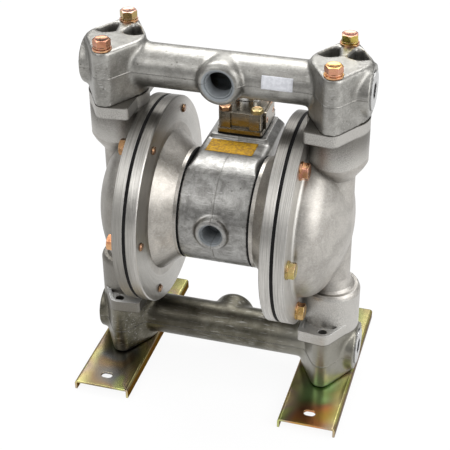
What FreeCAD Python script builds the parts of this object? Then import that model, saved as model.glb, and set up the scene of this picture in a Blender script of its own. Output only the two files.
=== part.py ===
import FreeCAD, Part
import math
import os
import Sketcher
from FreeCAD import Placement, Rotation, Vector

# Air operated double diaphragm pump, one inch, bare cast aluminium.
# Lengths are millimetres. X runs along the two diaphragms, Y to the back,
# Z up. The floor is at zero and the origin lies under the middle of the pump.

doc = FreeCAD.newDocument("diaphragm_pump")
sheet = doc.addObject("Spreadsheet::Sheet", "Sizes")

SIZES = [
    # where the main axes lie
    ("tube_height", 32.0, "suction tube axis above the mounting rails"),
    ("column_spacing", 250.0, "between the two vertical liquid columns"),
    ("port_rise", 137.0, "from the diaphragm axis to each manifold joint"),
    ("manifold_rise", 32.0, "from a manifold joint to the manifold tube axis"),
    ("diaphragm_offset", 82.6, "from the middle to each diaphragm"),
    # centre body
    ("body_length", 80.0, "centre body, gasket face to gasket face"),
    ("body_radius", 64.5, "round part of the centre body"),
    ("seat_rise", 2.5, "valve seat above the top of the round body"),
    ("pad_back", 115.0, "back face of the valve pad"),
    ("pad_drop", 32.0, "height of the valve pad at its back face"),
    ("pad_root", 4.0, "where the underside of the pad leaves the round body"),
    ("pad_corner", 10.0, "rounding of the two back corners of the pad"),
    ("pad_shoulder", 8.0, "bevel along both sides of the valve pad"),
    ("seat_front", 46.0, "front edge of the raised valve seat"),
    ("seat_step", 5.0, "label face below the valve seat"),
    ("gasket_thickness", 2.0, "body gaskets and valve gasket"),
    ("exhaust_boss_radius", 19.5, "boss round the exhaust port"),
    ("exhaust_boss_reach", 69.0, "exhaust face in front of the axis"),
    ("exhaust_height", 3.0, "exhaust port above the diaphragm axis"),
    ("exhaust_bore", 12.1, "radius of the exhaust thread, three quarter inch"),
    ("port_bevel", 1.5, "bevel of the exhaust boss"),
    ("port_lead", 1.0, "lead-in of the exhaust thread"),
    ("exhaust_depth", 30.0, "depth of the exhaust port"),
    ("air_inlet_bore", 7.5, "radius of the air inlet thread, three eighth inch"),
    ("air_inlet_depth", 18.0, "depth of the air inlet thread"),
    # air chambers and the clamped flanges
    ("flange_radius", 121.0, "outer radius of the clamped flanges"),
    ("air_flange", 12.1, "thickness of the air chamber flange"),
    ("liquid_flange", 11.9, "thickness of the liquid chamber flange"),
    ("neck_inset", 13.0, "air chamber neck inside the clamped ring, at its flange"),
    ("air_end_wall", 8.0, "end wall of the air chamber"),
    ("neck_land", 4.0, "straight end of the air chamber at its gasket"),
    ("rim_bevel", 1.2, "bevel of the air chamber flange"),
    ("air_wall", 8.5, "side wall of the air chamber"),
    ("bolt_edge", 15.0, "chamber bolts from the edge of their flange"),
    ("clamp_inset", 11.0, "inner edge of the clamped ring inside the bolt circle"),
    # diaphragms, disks and rod
    ("diaphragm_thickness", 4.0, "rubber diaphragm"),
    ("convolution", 7.0, "bulge of the diaphragm towards the air side"),
    ("fold_edge", 14.3, "from the disks and from the clamped ring to that bulge"),
    ("diaphragm_hole", 6.5, "radius of the hole in the middle of a diaphragm"),
    ("diaphragm_inset", 0.5, "diaphragm inside the rim of the flanges"),
    ("disk_radius", 52.0, "inner and outer disks"),
    ("disk_rim", 5.0, "rim thickness of the disks"),
    ("disk_hub_radius", 21.0, "raised middle of the disks"),
    ("disk_hub", 12.0, "thickness of the disks in the middle"),
    ("rod_radius", 10.0, "centre rod"),
    ("rod_clearance", 0.25, "gap between the rod and its bushings"),
    ("rod_pass", 1.5, "gap between the rod and the walls it passes"),
    ("seal_step", 1.0, "rod seal wider than the bushing"),
    ("thread_end", 2.0, "left free at the end of the thread in the rod"),
    ("bushing_wall", 3.0, "wall of the rod bushings"),
    ("bushing_length", 22.0, "length of each rod bushing"),
    ("seal_length", 5.0, "length of each rod seal"),
    ("rod_stroke", 20.0, "full travel of the centre rod"),
    ("rod_bolt_radius", 6.0, "bolts that hold the disks to the rod"),
    ("rod_bolt_flats", 19.0, "rod bolt heads, across flats"),
    ("rod_bolt_head", 7.5, "height of the rod bolt heads"),
    ("rod_thread", 26.0, "depth of the thread in each rod end"),
    ("pilot_radius", 4.0, "pilot pin between the two air chambers"),
    ("pilot_offset", 34.0, "pilot pin above the diaphragm axis"),
    ("pilot_share", 0.5, "travel of the pilot pin per travel of the rod"),
    # liquid chambers
    ("dome_inset", 5.0, "foot of the liquid chamber dome inside the clamped ring"),
    ("dome_depth", 50.5, "dome height from its flange"),
    ("dome_knuckle", 32.0, "bend between the side and the crown of the dome"),
    ("dome_fillet", 5.0, "rounding between the dome and its flange"),
    ("facing_reach", 1.0, "how far the facing cut of a liquid chamber passes its flange rim"),
    ("dome_wall", 6.0, "wall of the liquid chamber"),
    ("column_radius", 21.0, "vertical liquid column"),
    ("column_bore", 14.0, "bore of the vertical liquid column"),
    ("housing_radius", 34.0, "ball housings"),
    ("housing_bore", 26.5, "bore of the ball housings"),
    ("shoulder_height", 20.0, "from a ball housing down to the column"),
    ("shoulder_step", 3.0, "rounding of the shoulders between housing and column"),
    ("port_flange", 14.0, "thickness of the manifold flanges"),
    ("port_lobe_spacing", 82.0, "between the two bolts of a manifold joint"),
    ("port_lobe_radius", 12.0, "rounding round each manifold bolt"),
    ("port_ledge_reach", 28.0, "inboard edge of the flange from the column axis"),
    ("port_ledge_half", 50.0, "half depth of the inboard edge"),
    ("ledge_corner", 4.0, "inboard corners of the manifold flange"),
    ("ledge_pocket", 3.0, "depth of the pocket in the lower flange"),
    ("ledge_rim", 4.5, "rim round that pocket"),
    # check valves
    ("ball_radius", 16.0, "check balls"),
    ("ball_lift", 8.0, "lift of each check ball"),
    ("seat_bore", 12.0, "opening of the valve seats"),
    ("seat_height", 8.0, "height of the valve seats"),
    ("seat_clearance", 0.3, "gap round what is loose in the housings"),
    ("cage_wall", 3.5, "wall of the ball cages"),
    ("cage_rib", 4.0, "width of the ribs of the ball cages"),
    ("cage_bar", 2.7, "thickness of the bars that stop a ball"),
    # manifolds
    ("tube_radius", 24.5, "manifold tubes"),
    ("tube_bore", 16.0, "bore of the manifold tubes"),
    ("head_radius", 33.0, "manifold heads round the column axis"),
    ("upper_head", 63.0, "height of the upper manifold heads"),
    ("riser_bore", 20.0, "bore from a manifold joint up to its tube"),
    ("pocket_depth", 16.0, "cored pockets in the manifold heads"),
    ("pocket_front", 4.0, "front of the pockets behind the crown"),
    ("pocket_rib", 9.0, "rib between the two pockets of a head, at its front"),
    ("pocket_rim", 5.0, "wall left round those pockets"),
    ("tube_fillet", 4.0, "rounding between the manifold tube, its heads and its port"),
    ("end_boss_radius", 28.5, "round ends of the manifolds"),
    ("end_boss_reach", 35.0, "end of the manifold from the column axis"),
    ("end_boss_bevel", 1.0, "bevel round the end faces of the manifolds"),
    ("port_face", 5.0, "width of the flat ring round the inlet and outlet"),
    ("port_mouth_depth", 2.0, "depth of their wider mouth"),
    ("plug_radius", 21.0, "threaded plug in each manifold end"),
    ("plug_depth", 14.0, "length of the plug thread"),
    ("plug_proud", 1.5, "how far a plug stands out of its boss"),
    ("plug_socket", 17.0, "hexagon socket of the plugs, across flats"),
    ("port_boss_radius", 25.5, "boss round the inlet and outlet"),
    ("port_boss_reach", 34.0, "inlet and outlet faces from the tube axis"),
    ("port_bore", 15.2, "radius of the inlet and outlet thread, one inch"),
    ("port_mouth", 17.2, "radius of the mouth of inlet and outlet"),
    ("port_depth", 24.0, "depth of the inlet and outlet thread"),
    # hexagon bolts and washers
    ("bolt_radius", 5.0, "manifold and chamber bolts"),
    ("bolt_clearance", 0.5, "gap round a bolt in a plain hole"),
    ("thread_clearance", 0.1, "gap round a bolt in its threaded hole"),
    ("hex_flats", 17.0, "hexagon heads, across flats"),
    ("hex_height", 7.6, "hexagon heads of the upper and chamber bolts"),
    ("foot_hex_height", 6.4, "hexagon heads under the mounting rails"),
    ("washer_radius", 10.5, "plain washers"),
    ("washer_thickness", 2.0, "plain washers"),
    ("spring_washer_radius", 9.2, "spring washers"),
    ("spring_washer_thickness", 2.6, "spring washers"),
    ("bolt_proud", 2.5, "chamber bolt ends beyond the air chamber flange"),
    ("thread_engagement", 12.0, "bolt length held in a manifold joint"),
    # mounting rails
    ("foot_width", 67.4, "mounting rails across"),
    ("foot_height", 12.0, "height of the mounting rails"),
    ("foot_length", 235.0, "length of the mounting rails"),
    ("foot_sheet", 2.5, "sheet thickness of the mounting rails"),
    ("foot_bend", 3.5, "outer bend radius of the mounting rails"),
    ("slot_length", 14.0, "mounting slots across the rail"),
    ("slot_width", 9.5, "mounting slots along the rail"),
    ("slot_spacing", 195.2, "between front and back mounting slots"),
    # air valve
    ("valve_width", 54.0, "air valve block along the pump"),
    ("valve_depth", 64.0, "air valve block front to back"),
    ("valve_height", 26.0, "air valve block"),
    ("valve_front", 50.0, "front face of the air valve block"),
    ("valve_base", 5.0, "height of the base flange of the valve block"),
    ("valve_inset", 1.5, "valve block inside its base flange"),
    ("valve_recess", 3.0, "depth of the recess between the corner columns"),
    ("valve_recess_half", 11.5, "half width of that recess"),
    ("valve_corner", 3.0, "rounded corners of the valve block and its end caps"),
    ("valve_bolt_radius", 4.0, "bolts of the air valve block"),
    ("valve_bolt_inset", 8.0, "valve bolts from the edges of the block"),
    ("valve_bolt_depth", 14.0, "valve bolt length held in the body"),
    ("valve_hex_flats", 13.0, "valve bolt heads, across flats"),
    ("valve_hex_height", 5.3, "valve bolt heads"),
    ("spool_radius", 6.5, "air valve spool"),
    ("spool_waist", 4.0, "spool between its lands"),
    ("spool_length", 40.0, "air valve spool"),
    ("sleeve_wall", 2.5, "wall of the spool sleeve"),
    ("spool_gap", 0.2, "gap between the spool and its sleeve"),
    ("end_cap", 5.0, "thickness of the valve end caps"),
    ("end_cap_proud", 1.5, "how far the end caps stand out of the valve block"),
    ("end_cap_depth", 38.0, "valve end caps front to back"),
    ("end_cap_height", 22.0, "valve end caps up and down"),
    ("cap_screw_radius", 2.0, "socket screws of the end caps"),
    ("cap_screw_head", 3.5, "radius and height of their heads"),
    ("cap_screw_length", 8.0, "length of their threads in the valve block"),
    ("top_cap_radius", 18.0, "round cap on the air valve"),
    ("top_cap_height", 16.0, "round cap on the air valve"),
    ("top_cap_bevel", 1.0, "bevel of that cap and step under its head"),
    ("top_cap_slot", 2.0, "height of the groove round that cap"),
    ("top_cap_groove", 1.6, "groove round the cap"),
]


class Size:
    """A length that knows both its number and its formula in the sheet."""

    def __init__(self, formula, number):
        self.formula = formula
        self.number = number

    def __add__(self, other):
        return combine(self, "+", other, self.number + number_of(other))

    def __radd__(self, other):
        return combine(other, "+", self, number_of(other) + self.number)

    def __sub__(self, other):
        return combine(self, "-", other, self.number - number_of(other))

    def __rsub__(self, other):
        return combine(other, "-", self, number_of(other) - self.number)

    def __mul__(self, other):
        return combine(self, "*", other, self.number * number_of(other))

    def __rmul__(self, other):
        return combine(other, "*", self, number_of(other) * self.number)

    def __truediv__(self, other):
        return combine(self, "/", other, self.number / number_of(other))

    def __neg__(self):
        return Size(f"(-1 * {self.formula})", -self.number)


def number_of(value):
    return value.number if isinstance(value, Size) else float(value)


def formula_of(value):
    return value.formula if isinstance(value, Size) else f"({float(value):.6f})"


def combine(left, sign, right, number):
    return Size(f"({formula_of(left)} {sign} {formula_of(right)})", number)


class Sheet:
    """The driving sizes, each read by its own name."""


s = Sheet()
for row, (name, number, meaning) in enumerate(SIZES, start=1):
    sheet.set(f"A{row}", name)
    sheet.set(f"B{row}", str(number))
    sheet.set(f"C{row}", meaning)
    sheet.setAlias(f"B{row}", name)
    setattr(s, name, Size(f"Sizes.{name}", number))
doc.recompute()

AXIS = {"X": Vector(1, 0, 0), "Y": Vector(0, 1, 0), "Z": Vector(0, 0, 1)}
TURNED = {
    "X": Rotation(Vector(0, 0, 1), Vector(1, 0, 0)),
    "Z": Rotation(),
    "-X": Rotation(Vector(0, 0, 1), Vector(-1, 0, 0)),
    "-Z": Rotation(Vector(0, 0, 1), Vector(0, 0, -1)),
}
nodes = []


def bind(item, path, value):
    """Set a property to a size, so that it follows the sheet."""
    if isinstance(value, Size):
        item.setExpression(path, value.formula)
    else:
        setattr(item, path, value)


def place(item, x=0.0, y=0.0, z=0.0, turn="Z"):
    """Put an object at a point, with its own Z along the named axis."""
    start = Vector(number_of(x), number_of(y), number_of(z))
    item.Placement = Placement(start, TURNED[turn])
    for axis, value in (("x", x), ("y", y), ("z", z)):
        if isinstance(value, Size):
            item.setExpression(f"Placement.Base.{axis}", value.formula)


def keep(item, label):
    """Name a finished sub-part and list it for writing."""
    item.Label = label
    nodes.append(item)
    return item


def fix_point(sketch, geometry, end, u, v):
    """Hold one point of a sketch at two sizes from the sketch's origin."""
    for kind, value in (("DistanceX", u), ("DistanceY", v)):
        rule = Sketcher.Constraint(kind, -1, 1, geometry, end, number_of(value))
        index = sketch.addConstraint(rule)
        if isinstance(value, Size):
            sketch.setExpression(f"Constraints[{index}]", value.formula)


def draw_polygon(sketch, points):
    """A closed outline of straight lines through the given points."""
    flat = [Vector(number_of(u), number_of(v), 0) for u, v in points]
    first = sketch.GeometryCount
    for here, there in zip(flat, flat[1:] + flat[:1]):
        sketch.addGeometry(Part.LineSegment(here, there))
    for i, (u, v) in enumerate(points):
        following = first + (i + 1) % len(points)
        sketch.addConstraint(Sketcher.Constraint("Coincident", first + i, 2, following, 1))
        fix_point(sketch, first + i, 1, u, v)


def draw_circle(sketch, u, v, radius):
    centre = Vector(number_of(u), number_of(v), 0)
    index = sketch.addGeometry(Part.Circle(centre, Vector(0, 0, 1), number_of(radius)))
    fix_point(sketch, index, 3, u, v)
    rule = sketch.addConstraint(Sketcher.Constraint("Radius", index, number_of(radius)))
    if isinstance(radius, Size):
        sketch.setExpression(f"Constraints[{rule}]", radius.formula)


def draw_hull(sketch, circles):
    """Arcs round circles listed counterclockwise, joined by tangent lines."""
    numbers = [tuple(number_of(value) for value in circle) for circle in circles]
    count = len(numbers)
    normals = []
    for i in range(count):
        u1, v1, r1 = numbers[i]
        u2, v2, r2 = numbers[(i + 1) % count]
        span = math.hypot(u2 - u1, v2 - v1)
        heading = math.atan2(v2 - v1, u2 - u1)
        normals.append(heading - math.acos((r1 - r2) / span))
    first = sketch.GeometryCount
    for i, (u, v, radius) in enumerate(numbers):
        start = normals[i - 1]
        stop = normals[i]
        while stop <= start:
            stop += 2 * math.pi
        round_part = Part.Circle(Vector(u, v, 0), Vector(0, 0, 1), radius)
        sketch.addGeometry(Part.ArcOfCircle(round_part, start, stop))
    for i in range(count):
        u1, v1, r1 = numbers[i]
        u2, v2, r2 = numbers[(i + 1) % count]
        across = Vector(math.cos(normals[i]), math.sin(normals[i]), 0)
        begin = Vector(u1, v1, 0) + across * r1
        finish = Vector(u2, v2, 0) + across * r2
        sketch.addGeometry(Part.LineSegment(begin, finish))
    for i, (u, v, radius) in enumerate(circles):
        arc = first + i
        line = first + count + i
        following = first + (i + 1) % count
        fix_point(sketch, arc, 3, u, v)
        rule = sketch.addConstraint(Sketcher.Constraint("Radius", arc, number_of(radius)))
        if isinstance(radius, Size):
            sketch.setExpression(f"Constraints[{rule}]", radius.formula)
        sketch.addConstraint(Sketcher.Constraint("Tangent", arc, 2, line, 1))
        sketch.addConstraint(Sketcher.Constraint("Tangent", line, 2, following, 1))


class Piece:
    """A body whose features are sketched on its own origin planes."""

    def __init__(self, name):
        self.body = doc.addObject("PartDesign::Body", name)
        self.planes = {item.Role: item for item in self.body.Origin.OriginFeatures}
        self.count = 0

    def name(self, kind):
        self.count += 1
        return f"{self.body.Name}_{kind}_{self.count}"

    def sketch(self, plane, level=0.0, middle=0.0, rise=0.0):
        """A sketch on an origin plane, lifted off it by level, its origin
        shifted by middle and rise within the plane."""
        sketch = self.body.newObject("Sketcher::SketchObject", self.name("sketch"))
        sketch.AttachmentSupport = [(self.planes[plane], "")]
        sketch.MapMode = "FlatFace"
        for axis, value in (("x", middle), ("y", rise), ("z", level)):
            if isinstance(value, Size):
                sketch.setExpression(f"AttachmentOffset.Base.{axis}", value.formula)
        return sketch

    def extrude(self, kind, sketch, length, back=False):
        feature = self.body.newObject(kind, self.name(kind.split("::")[1].lower()))
        feature.Profile = sketch
        feature.Type = 0
        bind(feature, "Length", length)
        feature.Reversed = back
        self.body.Tip = feature
        return feature

    def pad(self, sketch, length, back=False):
        return self.extrude("PartDesign::Pad", sketch, length, back)

    def pocket(self, sketch, length, back=False):
        return self.extrude("PartDesign::Pocket", sketch, length, back)

    def turn(self, kind, sketch, axis):
        feature = self.body.newObject(kind, self.name(kind.split("::")[1].lower()))
        feature.Profile = sketch
        feature.ReferenceAxis = (sketch, [axis])
        feature.Angle = 360
        self.body.Tip = feature
        return feature

    def revolve(self, sketch, axis):
        return self.turn("PartDesign::Revolution", sketch, axis)

    def groove(self, sketch, axis):
        return self.turn("PartDesign::Groove", sketch, axis)

    def soften(self, kind, radius, choose):
        """Round or bevel the edges that the chooser picks."""
        doc.recompute()
        base = self.body.Tip
        edges = [f"Edge{i}" for i, edge in enumerate(base.Shape.Edges, 1) if choose(edge)]
        if not edges:
            raise ValueError(f"no edge to soften on {self.body.Name}")
        feature = self.body.newObject(kind, self.name("soft"))
        feature.Base = (base, edges)
        bind(feature, "Radius" if kind.endswith("Fillet") else "Size", radius)
        self.body.Tip = feature
        return feature

    def fillet(self, radius, choose):
        return self.soften("PartDesign::Fillet", radius, choose)

    def chamfer(self, size, choose):
        return self.soften("PartDesign::Chamfer", size, choose)


def centre_of(edge):
    return edge.CenterOfMass


def circle_at(axis, place_along, radius):
    """Chooser for full circles about an axis of the body, at one station."""

    def choose(edge):
        if edge.Degenerated or edge.Curve.TypeId != "Part::GeomCircle":
            return False
        along = edge.Curve.Center.dot(AXIS[axis])
        same_way = abs(abs(edge.Curve.Axis.dot(AXIS[axis])) - 1) < 1e-6
        same_place = abs(along - number_of(place_along)) < 0.05
        return same_way and same_place and abs(edge.Curve.Radius - number_of(radius)) < 0.05

    return choose


def line_along_y(x, z):
    """Chooser for straight edges along Y at plus or minus x and at height z."""

    def choose(edge):
        if len(edge.Vertexes) != 2:
            return False
        ends = [vertex.Point for vertex in edge.Vertexes]
        level = all(abs(end.z - number_of(z)) < 0.01 for end in ends)
        aside = all(abs(abs(end.x) - number_of(x)) < 0.01 for end in ends)
        return level and aside and abs(ends[0].y - ends[1].y) > 1

    return choose


def winds_over_tube(radius, level, inner):
    """Chooser for edges that wind over a cylinder along X at height level and
    stay away from the middle of the pump."""

    def lies_on(point):
        away = math.hypot(point.y, point.z - number_of(level))
        return abs(away - number_of(radius)) < 0.01 and abs(point.x) > number_of(inner)

    def choose(edge):
        if edge.Degenerated:
            return False
        points = [edge.valueAt(edge.getParameterByLength(edge.Length * part)) for part in (0.1, 0.5, 0.9)]
        stations = [point.x for point in points]
        return max(stations) - min(stations) > 0.001 and all(lies_on(point) for point in points)

    return choose


def root(value):
    """Square root of a size."""
    return Size(f"sqrt({value.formula})", math.sqrt(value.number))


# Stations worked out from the driving sizes. Heights with the word local are
# measured from the diaphragm axis, because each large piece has its own
# origin there and is then raised by axis_height.
column_x = s.column_spacing / 2
axis_height = s.foot_height + s.tube_height + s.manifold_rise + s.port_rise
bolt_circle = s.flange_radius - s.bolt_edge
clamp_radius = bolt_circle - s.clamp_inset
dome_radius = clamp_radius - s.dome_inset
neck_radius = clamp_radius - s.neck_inset
body_half = s.body_length / 2
pad_rise = s.body_radius + s.seat_rise
neck_x = body_half + s.gasket_thickness
air_face_x = s.diaphragm_offset - s.diaphragm_thickness / 2
air_back_x = air_face_x - s.air_flange
liquid_face_x = s.diaphragm_offset + s.diaphragm_thickness / 2
liquid_back_x = liquid_face_x + s.liquid_flange
cavity_x = neck_x + s.air_end_wall
tube_local = s.port_rise + s.manifold_rise
ball_reach = s.ball_radius + s.seat_clearance
ball_rest = s.seat_height + root(ball_reach * ball_reach - s.seat_bore * s.seat_bore)
ball_stop = ball_rest + s.ball_lift + ball_reach
housing_height = ball_stop + s.cage_bar
valve_middle_y = s.valve_front + s.valve_depth / 2
cap_inside = s.valve_width / 2 + s.end_cap_proud - s.end_cap
sleeve_radius = s.spool_radius + s.spool_gap + s.sleeve_wall
bolt_hole = s.bolt_radius + s.bolt_clearance
thread_hole = s.bolt_radius + s.thread_clearance
bushing_radius = s.rod_radius + s.rod_clearance + s.bushing_wall
seal_radius = bushing_radius + s.seal_step
lower_head = s.manifold_rise + s.tube_height
hex_corner = 0.5 / math.cos(math.radians(30))


def disc_along_x(piece, radius, start, length):
    """A round disc about the diaphragm axis."""
    outline = piece.sketch("YZ_Plane", start)
    draw_circle(outline, 0, 0, radius)
    piece.pad(outline, length)


def valve_pad(piece):
    """The block behind the round body: a low face in front for the label and
    a raised seat for the air valve."""
    under = pad_rise - s.pad_drop
    face = pad_rise - s.seat_step
    block = piece.sketch("YZ_Plane", -body_half)
    draw_polygon(block, [
        (0, 0),
        (s.body_radius - s.pad_root, 0),
        (s.pad_back, under),
        (s.pad_back, pad_rise),
        (s.seat_front + 1, pad_rise),
        (s.seat_front, face),
        (0, face),
    ])
    piece.pad(block, s.body_length)
    piece.fillet(s.pad_corner, pad_back_corner)
    piece.chamfer(s.pad_shoulder, line_along_y(body_half, pad_rise))


def bore_along_x(piece, radius, height, start, length):
    """A round hole towards +X."""
    sketch = piece.sketch("YZ_Plane", start)
    draw_circle(sketch, 0, height, radius)
    piece.pocket(sketch, length, back=True)


def valve_bolt_places():
    """The four corners where the air valve is bolted down."""
    reach = s.valve_width / 2 - s.valve_bolt_inset
    front = s.valve_front + s.valve_bolt_inset
    rear = s.valve_front + s.valve_depth - s.valve_bolt_inset
    return [(-reach, front), (reach, front), (-reach, rear), (reach, rear)]


def centre_body():
    piece = Piece("centre_body")
    disc_along_x(piece, s.body_radius, -body_half, s.body_length)
    valve_pad(piece)
    boss = piece.sketch("XY_Plane", s.exhaust_height)
    draw_polygon(boss, [
        (0, -s.body_radius / 2),
        (s.exhaust_boss_radius, -s.body_radius / 2),
        (s.exhaust_boss_radius, s.port_bevel - s.exhaust_boss_reach),
        (s.exhaust_boss_radius - s.port_bevel, -s.exhaust_boss_reach),
        (0, -s.exhaust_boss_reach),
    ])
    piece.revolve(boss, "V_Axis")
    port = piece.sketch("XY_Plane", s.exhaust_height)
    draw_polygon(port, [
        (0, -s.exhaust_boss_reach - s.port_lead),
        (s.exhaust_bore + s.port_lead * 2, -s.exhaust_boss_reach - s.port_lead),
        (s.exhaust_bore, s.port_lead - s.exhaust_boss_reach),
        (s.exhaust_bore, s.exhaust_depth - s.exhaust_boss_reach),
        (0, s.exhaust_depth - s.exhaust_boss_reach),
    ])
    piece.groove(port, "V_Axis")
    inlet = piece.sketch("XY_Plane", pad_rise - s.pad_drop / 2)
    draw_polygon(inlet, [
        (0, s.pad_back + 1),
        (s.air_inlet_bore, s.pad_back + 1),
        (s.air_inlet_bore, s.pad_back - s.air_inlet_depth),
        (0, s.pad_back - s.air_inlet_depth),
    ])
    piece.groove(inlet, "V_Axis")
    bushing_x = body_half - s.bushing_length
    waist = s.rod_radius + s.rod_clearance * 4
    rod_bore = piece.sketch("XZ_Plane")
    draw_polygon(rod_bore, [
        (-body_half - 1, 0),
        (body_half + 1, 0),
        (body_half + 1, bushing_radius),
        (bushing_x, bushing_radius),
        (bushing_x, waist),
        (-bushing_x, waist),
        (-bushing_x, bushing_radius),
        (-body_half - 1, bushing_radius),
    ])
    piece.groove(rod_bore, "H_Axis")
    pilot_hole = s.pilot_radius + s.rod_clearance
    bore_along_x(piece, pilot_hole, s.pilot_offset, -body_half - 1, s.body_length + 2)
    holes = piece.sketch("XY_Plane", pad_rise)
    for x, y in valve_bolt_places():
        draw_circle(holes, x, y, s.valve_bolt_radius + s.thread_clearance)
    piece.pocket(holes, s.valve_bolt_depth + 2)
    place(piece.body, z=axis_height)
    return keep(piece.body, "centre_body")


def pad_back_corner(edge):
    """The upright edges at the back of the valve pad."""
    middle = centre_of(edge)
    upright = len(edge.Vertexes) == 2 and abs(edge.Vertexes[0].X - edge.Vertexes[1].X) < 0.01
    upright = upright and abs(edge.Vertexes[0].Y - edge.Vertexes[1].Y) < 0.01
    return upright and abs(middle.y - s.pad_back.number) < 0.01


def mirrored(source, label):
    """The left-hand copy of a right-hand piece."""
    twin = doc.addObject("Part::Mirroring", label)
    twin.Source = source
    twin.Normal = AXIS["X"]
    return keep(twin, label)


def body_gasket():
    piece = Piece("body_gasket_right")
    disc_along_x(piece, s.body_radius, body_half, s.gasket_thickness)
    bore_along_x(piece, s.rod_radius + s.rod_pass, 0, body_half - 1, s.gasket_thickness + 2)
    bore_along_x(piece, s.pilot_radius + 1, s.pilot_offset, body_half - 1, s.gasket_thickness + 2)
    place(piece.body, z=axis_height)
    mirrored(keep(piece.body, "body_gasket_right"), "body_gasket_left")


def bolt_ring(piece, radius, start, length):
    """The holes of the clamped flanges, cut towards the middle of the pump."""
    sketch = piece.sketch("YZ_Plane", start)
    draw_circle(sketch, bolt_circle, 0, radius)
    hole = piece.pocket(sketch, length)
    pattern = piece.body.newObject("PartDesign::PolarPattern", piece.name("ring"))
    pattern.Originals = [hole]
    pattern.Axis = (sketch, ["N_Axis"])
    pattern.Angle = 360
    pattern.Occurrences = 6
    piece.body.Tip = pattern


def air_chamber():
    piece = Piece("air_chamber_right")
    shell = piece.sketch("XZ_Plane")
    draw_polygon(shell, [
        (neck_x, 0),
        (neck_x, s.body_radius),
        (neck_x + s.neck_land, s.body_radius),
        (air_back_x, neck_radius),
        (air_back_x, s.flange_radius),
        (air_face_x, s.flange_radius),
        (air_face_x, 0),
    ])
    piece.revolve(shell, "H_Axis")
    piece.chamfer(s.rim_bevel, circle_at("X", air_back_x, s.flange_radius))
    lip_radius = s.rod_radius + s.rod_pass
    cavity = piece.sketch("XZ_Plane")
    draw_polygon(cavity, [
        (neck_x - 1, 0),
        (neck_x - 1, seal_radius),
        (neck_x + s.seal_length, seal_radius),
        (neck_x + s.seal_length, lip_radius),
        (cavity_x, lip_radius),
        (cavity_x, s.body_radius - s.air_wall),
        (air_back_x, neck_radius - s.air_wall),
        (air_face_x, clamp_radius),
        (air_face_x + 1, clamp_radius),
        (air_face_x + 1, 0),
    ])
    piece.groove(cavity, "H_Axis")
    pilot_hole = s.pilot_radius + s.rod_clearance
    bore_along_x(piece, pilot_hole, s.pilot_offset, neck_x - 1, s.air_end_wall + 2)
    bolt_ring(piece, thread_hole, air_face_x + 1, s.air_flange + 2)
    place(piece.body, z=axis_height)
    mirrored(keep(piece.body, "air_chamber_right"), "air_chamber_left")


def port_outline(sketch, shrink=0.0):
    """The manifold flange of a liquid chamber, seen from above."""
    inboard = column_x - s.port_ledge_reach + s.ledge_corner + shrink
    corner_y = s.port_ledge_half - s.ledge_corner - shrink
    lobe_y = s.port_lobe_spacing / 2
    draw_hull(sketch, [
        (column_x, 0, s.head_radius - shrink),
        (column_x, lobe_y, s.port_lobe_radius - shrink),
        (inboard, corner_y, s.ledge_corner),
        (inboard, -corner_y, s.ledge_corner),
        (column_x, -lobe_y, s.port_lobe_radius - shrink),
    ])


def lobe_holes(piece, x, radius, level, length, back=False):
    """The two bolt holes of a manifold joint."""
    sketch = piece.sketch("XY_Plane", level)
    for side in (-0.5, 0.5):
        draw_circle(sketch, x, s.port_lobe_spacing * side, radius)
    piece.pocket(sketch, length, back)


def draw_dome(sketch, start, depth, radius, knuckle):
    """Half section of a dished end: a knuckle arc that runs into a crown arc."""
    deep, wide, bend = number_of(depth), number_of(radius), number_of(knuckle)
    crown = ((wide - bend) ** 2 + deep ** 2 - bend ** 2) / (2 * (deep - bend))
    base = number_of(start)
    meeting = math.atan2(wide - bend, crown - deep)
    first = sketch.GeometryCount
    knuckle_line, axis_line = first, first + 3
    knuckle_arc, crown_arc = first + 1, first + 2
    up = Vector(0, 0, 1)
    sketch.addGeometry(Part.LineSegment(Vector(base, 0, 0), Vector(base, wide, 0)))
    bend_circle = Part.Circle(Vector(base, wide - bend, 0), up, bend)
    sketch.addGeometry(Part.ArcOfCircle(bend_circle, meeting, math.pi / 2))
    crown_circle = Part.Circle(Vector(base + deep - crown, 0, 0), up, crown)
    sketch.addGeometry(Part.ArcOfCircle(crown_circle, 0, meeting))
    sketch.addGeometry(Part.LineSegment(Vector(base + deep, 0, 0), Vector(base, 0, 0)))
    sketch.addConstraint(Sketcher.Constraint("Coincident", knuckle_line, 2, knuckle_arc, 2))
    sketch.addConstraint(Sketcher.Constraint("Tangent", knuckle_arc, 1, crown_arc, 2))
    sketch.addConstraint(Sketcher.Constraint("Coincident", crown_arc, 1, axis_line, 1))
    sketch.addConstraint(Sketcher.Constraint("Coincident", axis_line, 2, knuckle_line, 1))
    fix_point(sketch, knuckle_line, 1, start, 0)
    fix_point(sketch, knuckle_line, 2, start, radius)
    fix_point(sketch, knuckle_arc, 3, start, radius - knuckle)
    fix_point(sketch, axis_line, 1, start + depth, 0)
    sketch.addConstraint(Sketcher.Constraint("DistanceY", -1, 1, crown_arc, 3, 0.0))


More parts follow.
